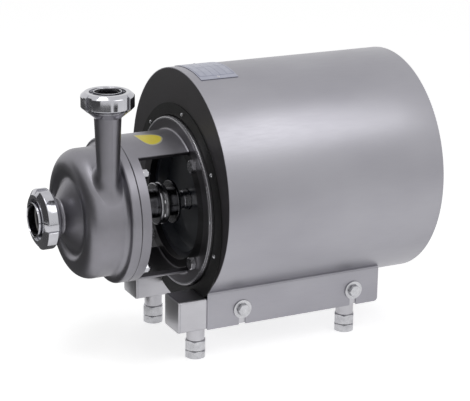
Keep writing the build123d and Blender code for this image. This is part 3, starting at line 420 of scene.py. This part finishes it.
PLATE = metal("plate_silver", (0.40, 0.41, 0.48), (0.34, 0.35, 0.42), (0.30, 0.38), scale=90.0, grain=1200.0,
              relief=0.05)
PRINT = plain("plate_ink", (0.10, 0.11, 0.20), (0.07, 0.08, 0.15), (0.4, 0.5))
YELLOW = plain("sticker_yellow", (0.80, 0.68, 0.05), (0.74, 0.61, 0.04), (0.30, 0.38), scale=60.0,
               relief=0.03)
PALE = plain("sticker_border", (0.55, 0.53, 0.38), (0.48, 0.46, 0.33), (0.35, 0.45), relief=0.03)
BLACK_PLASTIC = plain("black_plastic", (0.022, 0.022, 0.023), (0.016, 0.016, 0.017), (0.35, 0.5))
ROTOR_METAL = metal("rotor_aluminium", (0.55, 0.55, 0.56), (0.46, 0.46, 0.47), (0.35, 0.45))

LANTERN_INSIDE = 0.1095     # metres from the shaft's axis
X_BACK = corners("flange_bolts")[0].x + 7.5


def paint_shade_inside(name, base, tone, radius, back, back_shade_tone):
    """A copy of a metal with painted shade: near black within a radius of the shaft's axis, and a painted shade of
    another tone behind x = back.
    """
    mat = base.copy()
    mat.name = name
    tree = mat.node_tree
    shader = tree.nodes["Principled BSDF"]
    where = tree.nodes.new("ShaderNodeNewGeometry")
    split = tree.nodes.new("ShaderNodeSeparateXYZ")
    tree.links.new(where.outputs["Position"], split.inputs["Vector"])
    flat = tree.nodes.new("ShaderNodeCombineXYZ")
    tree.links.new(split.outputs["Y"], flat.inputs["Y"])
    tree.links.new(split.outputs["Z"], flat.inputs["Z"])
    away = tree.nodes.new("ShaderNodeVectorMath")
    away.operation = "DISTANCE"
    away.inputs[1].default_value = (0, 0, SHAFT_Z * MM)
    tree.links.new(flat.outputs["Vector"], away.inputs[0])
    inside = tree.nodes.new("ShaderNodeMapRange")
    inside.inputs["From Min"].default_value = radius - 0.0004
    inside.inputs["From Max"].default_value = radius
    tree.links.new(away.outputs["Value"], inside.inputs["Value"])
    colour = shader.inputs["Base Color"].links[0].from_socket
    mix = tree.nodes.new("ShaderNodeMix")
    mix.data_type = "RGBA"
    mix.inputs["A"].default_value = (*tone, 1)
    tree.links.new(inside.outputs["Result"], mix.inputs["Factor"])
    behind = tree.nodes.new("ShaderNodeMapRange")
    behind.inputs["From Min"].default_value = back - 0.0003
    behind.inputs["From Max"].default_value = back
    tree.links.new(split.outputs["X"], behind.inputs["Value"])
    outer = tree.nodes.new("ShaderNodeMix")
    outer.data_type = "RGBA"
    outer.inputs["B"].default_value = (*back_shade_tone, 1)
    tree.links.new(behind.outputs["Result"], outer.inputs["Factor"])
    tree.links.new(colour, outer.inputs["A"])
    tree.links.new(outer.outputs["Result"], mix.inputs["B"])
    tree.links.new(mix.outputs["Result"], shader.inputs["Base Color"])
    return mat


# Painted shade: the lantern's inside is painted near black and its rear flange face a darker grey, standing in for
# the shade they lie in.
LANTERN_SHADED_METAL = paint_shade_inside("lantern_steel_painted_shade", SATIN, (0.040, 0.038, 0.043), LANTERN_INSIDE,
                              (X_BACK - 0.4) * MM, (0.12, 0.115, 0.125))
# Painted shade: a darker copy of machined steel for the shaft and slinger, which sit in the lantern's shade.
HUB_SHADED_METAL = metal("machined_steel_painted_shade", (0.16, 0.16, 0.17), (0.11, 0.11, 0.12), (0.20, 0.28), scale=40.0,
                  grain=1500.0, relief=0.05)

BY_SLOT = {
    "satin_steel": SATIN, "brushed_sheet": BRUSHED, "polished_steel": POLISHED, "bolt_steel": BOLT,
    "dark_plate": DARK_PLATE, "black_ring": BLACK_RING, "rail_steel": RAIL, "motor_paint": MOTOR_PAINT,
    "dark_core": DARK_CORE, "copper_winding": COPPER, "seal_rubber": RUBBER, "white_gasket": GASKET,
    "seal_carbon": CARBON, "seal_ceramic": CERAMIC, "plate_silver": PLATE, "black_plastic": BLACK_PLASTIC,
    "rotor_aluminium": ROTOR_METAL,
}
for entry in frame["record"]["subparts"]:
    node = nodes[entry["node"]]
    node.data.materials.clear()
    node.data.materials.append(BY_SLOT[entry["material_slot"]])
nodes["lantern"].data.materials[0] = LANTERN_SHADED_METAL
nodes["pump_shaft"].data.materials[0] = HUB_SHADED_METAL

# Screwed unions: slotted nuts and the liners that they hold

NUT_HOLE_ROOM = 7.0          # from the nut's outside to its thread
SLOT_SWEEP, SLOT_DEPTH = 16.0, 3.0


def union(name, place, low, high, hole, first_slot, length, bore, stub, crown, body):
    """A slotted nut and the weld end in it; the crown is its (reach, depth, rounding)."""
    reach, depth, softness = crown
    radius = (high.y - low.y) / 2 if name == "suction" else (high.x - low.x) / 2
    thread = radius - NUT_HOLE_ROOM
    profile = rounded([
        (0, hole, 1.0), (0, radius - reach, 2.0), (depth, radius, softness),
        (length - 4, radius, 1.6), (length, radius - 4, 0.6), (length, thread, 0.6),
        (4.2, thread, 0.6), (4.2, hole, 0.6),
    ], 6)
    bm = bmesh.new()
    starts = [first_slot + 90 * k for k in range(4)]
    slotted(bm, profile, place, starts, SLOT_SWEEP, radius - SLOT_DEPTH)
    to_piece(f"{name}_union_nut", bm, POLISHED, body, 28, (f"{name}_nut",))
    bm = bmesh.new()
    collar = 4.5
    lathe(bm, rounded([
        (-stub, bore + 0.4, 0.3), (-stub, bore + 1.5, 0.3), (collar, bore + 1.5, 1.2),
        (collar, thread - 1.5, 0.4), (collar + 3.5, thread - 1.5, 0.4), (collar + 3.5, bore, 0.4),
        (-stub + 1.0, bore, 0.4),
    ], 4), place)
    to_piece(f"{name}_weld_end", bm, POLISHED, "frame", 28, (f"{name}_liner",))


SUCTION_RADIUS = (SUCTION_HIGH.z - SUCTION_LOW.z) / 2
suction_place = at_shaft(SUCTION_LOW.x)
discharge_place = place_at((X_PIPE, Y_PIPE, DISCHARGE_HIGH.z), -Z, -Y)
union("suction", suction_place, SUCTION_LOW, SUCTION_HIGH, 31.0, 85.0, SUCTION_HIGH.x - SUCTION_LOW.x,
      25.0, 4.0, (9.0, 5.5, 2.0), "suction_union")
union("discharge", discharge_place, DISCHARGE_LOW, DISCHARGE_HIGH, 26.5, -32.0,
      DISCHARGE_HIGH.z - DISCHARGE_LOW.z, 19.0, 0.6, (6.2, 4.8, 3.5), "discharge_union")

# The ground shoulder of the casing behind the discharge union nut
SHOULDER_STEP, NUT_GAP = 2.5, 0.3


def shoulder(name, place, length, thread, cone, foot):
    bm = bmesh.new()
    start = length + NUT_GAP
    lathe(bm, rounded([
        (start, thread - 1.0, 0), (start - 0.03, thread + SHOULDER_STEP + 0.04, 0.8),
        (start + cone, foot + 0.04, 1.2), (start + cone + 0.6, foot - 0.6, 0), (start + cone, foot - 3.0, 0),
    ], 5), place, 128)
    to_piece(name, bm, POLISHED, "frame", 28)


shoulder("discharge_shoulder", discharge_place, DISCHARGE_HIGH.z - DISCHARGE_LOW.z,
         (DISCHARGE_HIGH.x - DISCHARGE_LOW.x) / 2 - NUT_HOLE_ROOM, 11.0, 21.5)

# Casing: the blend where the discharge pipe leaves the bowl, and a black ring in the joint that is partly the
# gasket's edge and partly painted shade of the joint gap

BOWL_R = 98.4
BOWL_ROUNDING = 25.0
X_FACE = SUCTION_LOW.x - 4.0 + 54.5


def bowl_radius(x):
    """The bowl's outer radius at x."""
    inside = X_FACE + BOWL_ROUNDING - x
    if inside <= 0:
        return BOWL_R
    inside = min(inside, BOWL_ROUNDING * 0.98)
    return BOWL_R - BOWL_ROUNDING + math.sqrt(BOWL_ROUNDING**2 - inside**2)


def pipe_radius(z):
    """The discharge pipe's outer radius at height z."""
    top, bottom = DISCHARGE_HIGH.z - 10.5, DISCHARGE_HIGH.z - 162.5
    return 14.9 + 6.1 * (z - bottom) / (top - bottom)


def on_bowl(point):
    """The nearest point of the bowl's surface in the plane square to the shaft."""
    radius = bowl_radius(point.x)
    flat = Vector((0, point.y, point.z - SHAFT_Z))
    return Vector((point.x, 0, SHAFT_Z)) + flat.normalized() * radius


def bowl_normal(point):
    step = 0.5
    slope = (bowl_radius(point.x + step) - bowl_radius(point.x - step)) / (2 * step)
    flat = Vector((0, point.y, point.z - SHAFT_Z)).normalized()
    return (flat - X * slope).normalized()


bm = bmesh.new()
rows = []
for k in range(144):
    a = 2 * math.pi * k / 144
    out = Vector((math.cos(a), math.sin(a), 0))
    z = SHAFT_Z + 60
    for _ in range(12):
        p = Vector((X_PIPE, Y_PIPE, z)) + out * pipe_radius(z)
        z = SHAFT_Z + math.sqrt(max(bowl_radius(p.x) ** 2 - p.y**2, 1.0))
    foot = Vector((X_PIPE, Y_PIPE, z)) + out * pipe_radius(z)
    normal = bowl_normal(foot)
    along = (out - normal * out.dot(normal))
    along = along.normalized() if along.length > 1e-3 else -Z
    spread_out = 13.0
    low = on_bowl(foot + along * spread_out)
    mid = on_bowl(foot + along * spread_out * 0.5)
    lift = 19.0
    high_z = z + lift
    high = Vector((X_PIPE, Y_PIPE, high_z)) + out * pipe_radius(high_z)
    row = []
    for i in range(13):
        t = i / 12
        p = high * (1 - t) ** 2 + foot * 2 * t * (1 - t) + low * t**2
        row.append(p + (normal + out).normalized() * 0.03)
    rows.append([bm.verts.new(p * MM) for p in row])
bridge(bm, rows, True, False)
to_piece("pipe_blend", bm, SATIN, "frame", 60)

# A black ring in the flanges' V-groove: partly the gasket's edge, partly painted shade of the gap between the
# flanges.
bm = bmesh.new()
lathe(bm, rounded([
    (-1.5, 108.3, 0), (1.5, 108.3, 0), (1.4, 110.3, 0.6), (-1.4, 110.3, 0.6),
], 4), at_shaft(X_JOINT), 160)
to_piece("joint_gasket_edge_and_gap_shade", bm, BLACK_RING, "frame")

# Dome nuts and washers on the studs, and the bolts at the lantern's rear flange


def spread_places(radius, x, count=4, first=45.0):
    """Places on a circle round the shaft, each with its axis along +X."""
    for k in range(count):
        a = math.radians(first + 360 * k / count)
        out = Z * math.cos(a) - Y * math.sin(a)
        yield place_at(Vector((x, 0, SHAFT_Z)) + out * radius, X, out)


washer_low, washer_high = corners("casing_washers")
bm = bmesh.new()
for place in spread_places(103.0, washer_low.x):
    lathe(bm, rounded([(0, 4.4, 0), (0, 7.8, 0.4), (1.6, 7.8, 0.5), (1.6, 4.4, 0)], 3), place, 48)
to_piece("stud_washers", bm, BOLT, "frame", 30, ("casing_washers",))
bm = bmesh.new()
for place in spread_places(103.0, washer_high.x):
    hexagon_head(bm, place, 13.0, 6.5, dome=5.9)
to_piece("stud_dome_nuts", bm, POLISHED, "frame", 30, ("casing_dome_nuts",))

bolt_high = corners("flange_bolts")[1]
bm = bmesh.new()
for place in spread_places(107.5, X_BACK):
    head = place @ Matrix.Rotation(math.pi, 4, "X")
    hexagon_head(bm, head, 18.0, 7.5, face=0.6)
    threaded(bm, place, 6.0, bolt_high.x - X_BACK, 1.75, 0.5)
to_piece("rear_flange_bolts", bm, BOLT, "frame", 30, ("flange_bolts",))

# The clamp collar and the slinger disc on the shaft, turned with small chamfers
clamp_low, clamp_high = corners("clamp_collar")
slinger_low, slinger_high = corners("slinger_disc")
CLAMP_R = (clamp_high.z - clamp_low.z) / 2
CLAMP_BORE, SLINGER_BORE = 22.2, 14.2
bm = bmesh.new()
x0, x1 = clamp_low.x, clamp_high.x
middle = (x0 + x1) / 2
lathe(bm, rounded([
    (x0, CLAMP_BORE, 0.3), (x0, CLAMP_R, 1.4), (middle - 2.6, CLAMP_R, 0.3), (middle - 2.2, CLAMP_R - 0.9, 0.3),
    (middle + 2.2, CLAMP_R - 0.9, 0.3), (middle + 2.6, CLAMP_R, 0.3), (x1, CLAMP_R, 1.4), (x1, CLAMP_BORE, 0.3),
], 4), at_shaft(0), 160)
to_piece("turned_clamp_ring", bm, MACHINED, "rotor", 30, ("clamp_collar",))
bm = bmesh.new()
SLINGER_R = (slinger_high.z - slinger_low.z) / 2
lathe(bm, rounded([
    (slinger_low.x, SLINGER_BORE, 0.2), (slinger_low.x, SLINGER_R, 0.6), (slinger_high.x, SLINGER_R, 0.6),
    (slinger_high.x, SLINGER_BORE, 0.2),
], 4), at_shaft(0), 160)
to_piece("turned_slinger", bm, HUB_SHADED_METAL, "rotor", 30, ("slinger_disc",))

# A machined lip round the lantern's rear flange
bm = bmesh.new()
lathe(bm, rounded([
    (-0.25, 126.8, 0.2), (-0.25, 129.4, 1.2), (2.6, 131.15, 1.2), (5.0, 131.15, 0.1), (5.0, 130.0, 0),
    (1.0, 127.0, 0),
], 5), at_shaft(X_BACK), 200)
to_piece("flange_lip", bm, MACHINED, "frame", 40)

# Closing ring's screws and the rivets of the plate

screw_low, screw_high = corners("ring_screws")
bm = bmesh.new()
for k in range(7):
    a = math.radians(97.2 + 360 * k / 7)
    out = -(Y * -math.cos(a)) + Z * math.sin(a)
    place = place_at(Vector((screw_low.x + 2.0, 0, SHAFT_Z)) + out * 141.0, -X, out)
    lathe(bm, [(-6, 0), (-6, 1.9), (0, 1.9), (0, 3.0), (0.9, 2.9), (1.6, 2.3), (1.95, 1.5), (1.3, 1.3),
               (1.3, 0)], place, 24)
to_piece("closing_ring_screws", bm, BOLT, "frame", 30, ("ring_screws",))

plate_low, plate_high = corners("rating_plate")
rivet_low, rivet_high = corners("plate_rivets")
PLATE_FROM, PLATE_TO = -14.5, 16.5
PLATE_R = SHROUD_R + 1.0
X_RIVET = (plate_low.x + plate_high.x) / 2
bm = bmesh.new()
for angle in (PLATE_FROM + 1.6, PLATE_TO - 1.6):
    a = math.radians(angle)
    out = Z * math.cos(a) - Y * math.sin(a)
    place = place_at(Vector((X_RIVET, 0, SHROUD_Z)) + out * PLATE_R, out, X)
    lathe(bm, [(0, 0), (0, 2.2)] + [(0.98 * math.sin(t), 2.2 * math.cos(t))
                                    for t in [math.pi / 2 * i / 6 for i in range(1, 7)]], place, 32)
to_piece("domed_rivets", bm, BOLT, "frame", 40, ("plate_rivets",))


def on_cylinder(x, angle, radius, z):
    a = math.radians(angle)
    return Vector((x, -radius * math.sin(a), z + radius * math.cos(a)))


def printed_box(bm, x0, x1, a0, a1, line, radius, z):
    """The outline of a box, printed on a cylinder."""
    degrees = math.degrees(line / radius)
    strips = [
        (x0, x1, a0, a0 + degrees), (x0, x1, a1 - degrees, a1),
        (x0, x0 + line, a0, a1), (x1 - line, x1, a0, a1),
    ]
    for low_x, high_x, low_a, high_a in strips:
        printed_strip(bm, low_x, high_x, low_a, high_a, radius, z)


def printed_strip(bm, x0, x1, a0, a1, radius, z):
    steps = max(1, round(abs(a1 - a0)))
    rows = []
    for k in range(steps + 1):
        a = a0 + (a1 - a0) * k / steps
        rows.append([bm.verts.new(on_cylinder(x, a, radius, z) * MM) for x in (x0, x1)])
    bridge(bm, rows, False, False)


# The plate carries only a frame and empty ruled fields
bm = bmesh.new()
ink = PLATE_R + 0.05
px0, px1 = plate_low.x, plate_high.x
printed_box(bm, px0 + 2, px1 - 2, PLATE_FROM + 3.2, PLATE_TO - 3.2, 0.8, ink, SHROUD_Z)
for k in range(1, 5):
    x = px0 + 2 + (px1 - px0 - 4) * k / 5
    printed_strip(bm, x - 0.25, x + 0.25, PLATE_FROM + 3.2, PLATE_TO - 3.2, ink, SHROUD_Z)
middle = (PLATE_FROM + PLATE_TO) / 2
printed_strip(bm, px0 + 14, px1 - 2, middle - 0.1, middle + 0.1, ink, SHROUD_Z)
to_piece("plate_ruling", bm, PRINT, "frame")

# The sticker on the lantern's roof: a plain drop

ROOF_R = 111.0
STICKER_TIP, STICKER_END = X_FRONT - 82.0, X_FRONT - 35.0


def drop(scale, steps=72):
    """Points of a drop about its middle: x along its length, y across, both in millimetres."""
    length, width = STICKER_END - STICKER_TIP, 40.0
    points = []
    for k in range(steps):
        t = 2 * math.pi * k / steps
        points.append((-math.cos(t) * length / 2 * scale,
                       math.sin(t) * abs(math.sin(t / 2)) ** 1.3 * width * 0.62 * scale))
    return points


def sticker_ring(bm, scale, lift):
    """One outline of the drop, laid on the roof."""
    middle_x, middle_a = (STICKER_TIP + STICKER_END) / 2, 8.0
    lean = math.radians(48)
    ring = []
    for u, v in drop(scale):
        x = u * math.cos(lean) - v * math.sin(lean)
        side = u * math.sin(lean) + v * math.cos(lean)
        angle = middle_a + math.degrees(side / ROOF_R)
        ring.append(bm.verts.new(on_cylinder(middle_x + x, angle, ROOF_R + lift, SHAFT_Z) * MM))
    return ring


bm = bmesh.new()
bridge(bm, [sticker_ring(bm, s, h) for s, h in ((1.0, 0.02), (0.995, 0.12), (0.90, 0.12))], False, True)
to_piece("sticker_border", bm, PALE, "frame", 60)
bm = bmesh.new()
rows = [sticker_ring(bm, s, 0.13) for s in (0.90, 0.7, 0.5, 0.3, 0.1)]
bridge(bm, rows, False, True)
bm.faces.new(rows[-1])
to_piece("sticker_face", bm, YELLOW, "frame", 60)

# The shroud: a rolled cylinder and two side plates whose slots are open below

SHEET, SKIRT = 1.5, 2.0
LEDGE_Z, LEDGE_Y = RAIL_TOP + 6.5, 97.56
SKIRT_Y = RAIL_Y + RAIL_SIZE / 2 + SKIRT
washer_box = corners("skirt_washers")
BOLT_X = [washer_box[0].x + 15.0, washer_box[1].x - 15.0]


def shroud_profile(x0, x1, front, rear):
    """A wall of sheet from x0 to x1, with the rounding of each end's outer edge."""
    return rounded([
        (x0, SHROUD_R - SHEET, 0), (x0, SHROUD_R, front), (x1, SHROUD_R, rear), (x1, SHROUD_R - SHEET, 0),
    ], 3)


bm = bmesh.new()
cut_x = X_RAIL_END + 0.5
inner = math.degrees(math.asin((RAIL_Y - RAIL_SIZE / 2 - 0.5) / SHROUD_R))
outer = math.degrees(math.acos((SHROUD_Z - LEDGE_Z + SKIRT) / SHROUD_R))
lathe(bm, shroud_profile(X_FRONT, cut_x, 0.6, 0), at_shaft(0, SHROUD_Z), 288, 180 + outer, 360 - 2 * outer)
lathe(bm, shroud_profile(X_FRONT, cut_x, 0.6, 0), at_shaft(0, SHROUD_Z), 288, 180 - inner, 2 * inner)
lathe(bm, shroud_profile(cut_x, X_REAR, 0, 0.6), at_shaft(0, SHROUD_Z), 288)
for side in (NEAR, FAR):
    outline = [(X_FRONT, LEDGE_Z), (X_FRONT, RAIL_BOTTOM)]
    for x in BOLT_X:
        outline += [(x - 5.5, RAIL_BOTTOM)] + arc(x, RAIL_Z, 5.5, 180, 0) + [(x + 5.5, RAIL_BOTTOM)]
    outline += arc(X_RAIL_END - 6, RAIL_BOTTOM + 6, 6, -90, 0) + [(X_RAIL_END, LEDGE_Z)]
    matrix = place_at((0, side * SKIRT_Y, 0), Y * -side, X)
    flip = Vector(matrix.col[1][:3]).z < 0
    plate(bm, [(x, -z if flip else z) for x, z in outline], matrix, SKIRT, bevel=0.5)
    ledge = [(LEDGE_Y, LEDGE_Z - SKIRT), (SKIRT_Y - 1, LEDGE_Z - SKIRT), (SKIRT_Y - 1, LEDGE_Z - 0.02),
             (LEDGE_Y, LEDGE_Z - 0.02)]
    section = [(side * y, z) for y, z in ledge]
    plate(bm, section, place_at((X_FRONT + 0.5, 0, 0), X, Y), X_RAIL_END - X_FRONT - 1)
to_piece("shroud_sheet", bm, BRUSHED, "frame", 30, ("shroud",))

# The ground weld where each side plate meets the cylinder
bm = bmesh.new()
for side in (NEAR, FAR):
    weld = [(106.7, 107.5), (106.3, 108.7), (105.6, 109.7), (104.7, 110.6), (102.0, 109.5), (100.0, 107.4)]
    section = [(side * y, z - 107.5 + LEDGE_Z) for y, z in weld]
    plate(bm, section, place_at((X_FRONT + 0.6, 0, 0), X, Y), X_RAIL_END - X_FRONT - 1.2)
to_piece("skirt_seam_welds", bm, BRUSHED, "frame", 50)

# Washers and bolts on the side plates

bm = bmesh.new()
heads = bmesh.new()
for side in (NEAR, FAR):
    for x in BOLT_X:
        seat = place_at((x, side * SKIRT_Y, RAIL_Z), Y * side, X)
        lathe(bm, rounded([(0, 5.5, 0), (0, 15.0, 0.5), (2.0, 15.0, 0.8), (2.0, 5.5, 0.3)], 4), seat, 96)
        seat = place_at((x, side * (SKIRT_Y + 2.0), RAIL_Z), Y * side, X)
        hexagon_head(heads, seat, 17.0, 6.4, face=0.8)
        threaded(heads, place_at((x, side * (SKIRT_Y + 2.0), RAIL_Z), Y * -side, X), 5.0, 20.0, 1.5, 0.45)
to_piece("side_plate_washers", bm, BOLT, "frame", 30, ("skirt_washers",))
to_piece("side_plate_bolts", heads, BOLT, "frame", 30, ("skirt_bolts",))

# Rails: end caps with their ground weld, and the feet

bm = bmesh.new()
weld = bmesh.new()
for x, way in ((X_RAIL, 1), (X_RAIL_END, -1)):
    for side in (NEAR, FAR):
        matrix = place_at((x, side * RAIL_Y, RAIL_Z), X * way, Y)
        plate(bm, rounded_square(RAIL_SIZE, 4.0), matrix, 3.0, bevel=0.9)
        path = []
        outline = rounded_square(RAIL_SIZE - 0.5, 3.8)
        middle = Vector((x + way * 3.0, side * RAIL_Y, RAIL_Z))
        for u, v in outline:
            out = Y * u + Z * v
            path.append((middle + out, out.normalized()))
        bead(weld, path, 0.42, ripple=0.1)
to_piece("rail_caps", bm, RAIL, "frame", 30, ("rail_end_caps",))

FOOT_X = [X_RAIL + 40.0, X_RAIL_END - 44.0]
feet = [(x, side * RAIL_Y) for side in (NEAR, FAR) for x in FOOT_X]
boss_low, boss_high = corners("foot_bosses")
nut_low, nut_high = corners("foot_lock_nuts")
bm = bmesh.new()
nuts = bmesh.new()
for k, (x, y) in enumerate(feet):
    lathe(bm, rounded([(0, 10.1, 0.6), (0, 14.0, 0.9), (boss_high.z - boss_low.z, 14.0, 0),
                       (boss_high.z - boss_low.z, 10.1, 0)], 4), upright(x, y, boss_low.z), 72)
    bead(weld, ring_path((x, y, boss_high.z - 0.6), -Z, X, 14.5), 1.3)
    hexagon_head(nuts, upright(x, y, nut_low.z), 30.0, nut_high.z - nut_low.z, low=True, hole=10.0)
    foot = bmesh.new()
    head_place = upright(x, y, 0)
    hexagon_head(foot, head_place, 30.0, 12.5, low=True)
    foot_high = corners(f"foot_bolt_{k + 1}")[1].z
    threaded(foot, upright(x, y, 12.4), 9.95, foot_high - 12.4, 2.5, 0.9)
    to_piece(f"levelling_foot_{k + 1}", foot, BOLT, f"foot_bolt_{k + 1}", 30,
             (f"foot_bolt_{k + 1}",))
to_piece("welded_bosses", bm, RAIL, "frame", 30, ("foot_bosses",))
to_piece("lock_nuts", nuts, BOLT, "frame", 30, ("foot_lock_nuts",))
to_piece("rail_welds", weld, WELD, "frame", 60)

# Camera, as fitted to the photograph

camera_data = bpy.data.cameras.new("camera")
camera_data.lens = 126.50
camera_data.sensor_width = 36.0
camera = bpy.data.objects.new("camera", camera_data)
bpy.context.scene.collection.objects.link(camera)
back = Vector((-0.42806, -0.85126, 0.30351))
up = Vector((0.12424, 0.27722, 0.95274))
right = up.cross(back)
turned = Matrix((right, up, back)).transposed().to_4x4()
turned.translation = Vector((-1.07205, -2.1965, 0.9961))
camera.matrix_world = turned
bpy.context.scene.camera = camera

# Studio: a pale floor, a pale world, soft lamps and dark cards that only reflections see


def stage_mesh(name, bm, mat):
    mesh = bpy.data.meshes.new(name)
    bm.to_mesh(mesh)
    bm.free()
    thing = bpy.data.objects.new(name, mesh)
    bpy.context.scene.collection.objects.link(thing)
    mesh.materials.append(mat)
    return thing


def seen_rays(tree):
    """1 for camera, glossy and transmission rays, 0 for the rays that light things."""
    path = tree.nodes.new("ShaderNodeLightPath")
    value = path.outputs["Is Camera Ray"]
    for name in ("Is Glossy Ray", "Is Transmission Ray"):
        highest = tree.nodes.new("ShaderNodeMath")
        highest.operation = "MAXIMUM"
        tree.links.new(value, highest.inputs[0])
        tree.links.new(path.outputs[name], highest.inputs[1])
        value = highest.outputs[0]
    return value


floor_mat = bpy.data.materials.new("floor")
floor_mat.use_nodes = True
tree = floor_mat.node_tree
tree.nodes.clear()
diffuse = tree.nodes.new("ShaderNodeBsdfDiffuse")
diffuse.inputs["Color"].default_value = (0.80, 0.80, 0.80, 1)
glow = tree.nodes.new("ShaderNodeEmission")
glow.inputs["Color"].default_value = (1, 1, 1, 1)
glow.inputs["Strength"].default_value = 0.70
both = tree.nodes.new("ShaderNodeAddShader")
tree.links.new(diffuse.outputs[0], both.inputs[0])
tree.links.new(glow.outputs[0], both.inputs[1])
choose = tree.nodes.new("ShaderNodeMixShader")
tree.links.new(seen_rays(tree), choose.inputs["Fac"])
tree.links.new(diffuse.outputs[0], choose.inputs[1])
tree.links.new(both.outputs[0], choose.inputs[2])
surface = tree.nodes.new("ShaderNodeOutputMaterial")
tree.links.new(choose.outputs[0], surface.inputs["Surface"])
floor_bm = bmesh.new()
bmesh.ops.create_circle(floor_bm, cap_ends=True, radius=14.0, segments=96)
stage_mesh("floor", floor_bm, floor_mat)

world = bpy.data.worlds.new("studio")
bpy.context.scene.world = world
world.use_nodes = True
tree = world.node_tree
tree.nodes.clear()
level = tree.nodes.new("ShaderNodeMapRange")
level.inputs["To Min"].default_value = 0.35
level.inputs["To Max"].default_value = 1.0
tree.links.new(seen_rays(tree), level.inputs["Value"])
sky = tree.nodes.new("ShaderNodeBackground")
sky.inputs["Color"].default_value = (1, 1, 1, 1)
tree.links.new(level.outputs["Result"], sky.inputs["Strength"])
world_out = tree.nodes.new("ShaderNodeOutputWorld")
tree.links.new(sky.outputs[0], world_out.inputs["Surface"])


def card(name, outline, tone):
    """A flat studio card that only reflections see."""
    mat = bpy.data.materials.new(name)
    mat.use_nodes = True
    tree = mat.node_tree
    tree.nodes.clear()
    shade = tree.nodes.new("ShaderNodeEmission")
    shade.inputs["Color"].default_value = (tone, tone, tone, 1)
    out = tree.nodes.new("ShaderNodeOutputMaterial")
    tree.links.new(shade.outputs[0], out.inputs["Surface"])
    bm = bmesh.new()
    bm.faces.new([bm.verts.new(p) for p in outline])
    thing = stage_mesh(name, bm, mat)
    thing.visible_camera = False
    thing.visible_diffuse = False
    thing.visible_transmission = False
    thing.visible_volume_scatter = False
    thing.visible_shadow = False


def sector(name, near, far, start, end, tone):
    """A card that lies on the floor round the discharge pipe's foot, between two angles in degrees."""
    angles = [math.radians(start + (end - start) * k / 12) for k in range(13)]
    outline = [(radius, a) for radius, turn in ((near, angles), (far, angles[::-1])) for a in turn]
    card(name, [(X_PIPE * MM + r * math.cos(a), Y_PIPE * MM + r * math.sin(a), 0.004) for r, a in outline], tone)


card("left_card", [(-1.5, -1.1, 0.02), (-1.5, 1.8, 0.02), (-1.5, 1.8, 1.1), (-1.5, -1.1, 1.1)], 0.10)
card("back_left_card", [(-1.5, 0.0, 0.004), (-0.4, -0.04, 0.004), (-0.15, 0.04, 0.004), (-0.15, 0.3, 0.004),
                        (-0.1, 2.2, 0.004), (-1.5, 2.2, 0.004)], 0.12)
sector("front_left_card", 0.95, 1.9, 183, 262, 0.22)
sector("front_right_card", 0.95, 1.9, 273, 291, 0.10)


def lamp(name, place, target, size, power):
    """A soft lamp that faces its target."""
    data = bpy.data.lights.new(name, "AREA")
    data.shape = "RECTANGLE"
    data.size, data.size_y = size
    data.energy = power
    lamp_object = bpy.data.objects.new(name, data)
    bpy.context.scene.collection.objects.link(lamp_object)
    direction = Vector(target) - Vector(place)
    lamp_object.rotation_euler = direction.to_track_quat("-Z", "Y").to_euler()
    lamp_object.location = place


lamp("key_lamp", (0.55, -1.0, 1.65), (0.0, 0, 0.25), (0.9, 1.0), 5)
lamp("top_left_lamp", (-0.55, -0.1, 1.6), (-0.22, 0, 0.25), (0.5, 0.6), 4)

scene = bpy.context.scene
scene.view_settings.view_transform = "Standard"
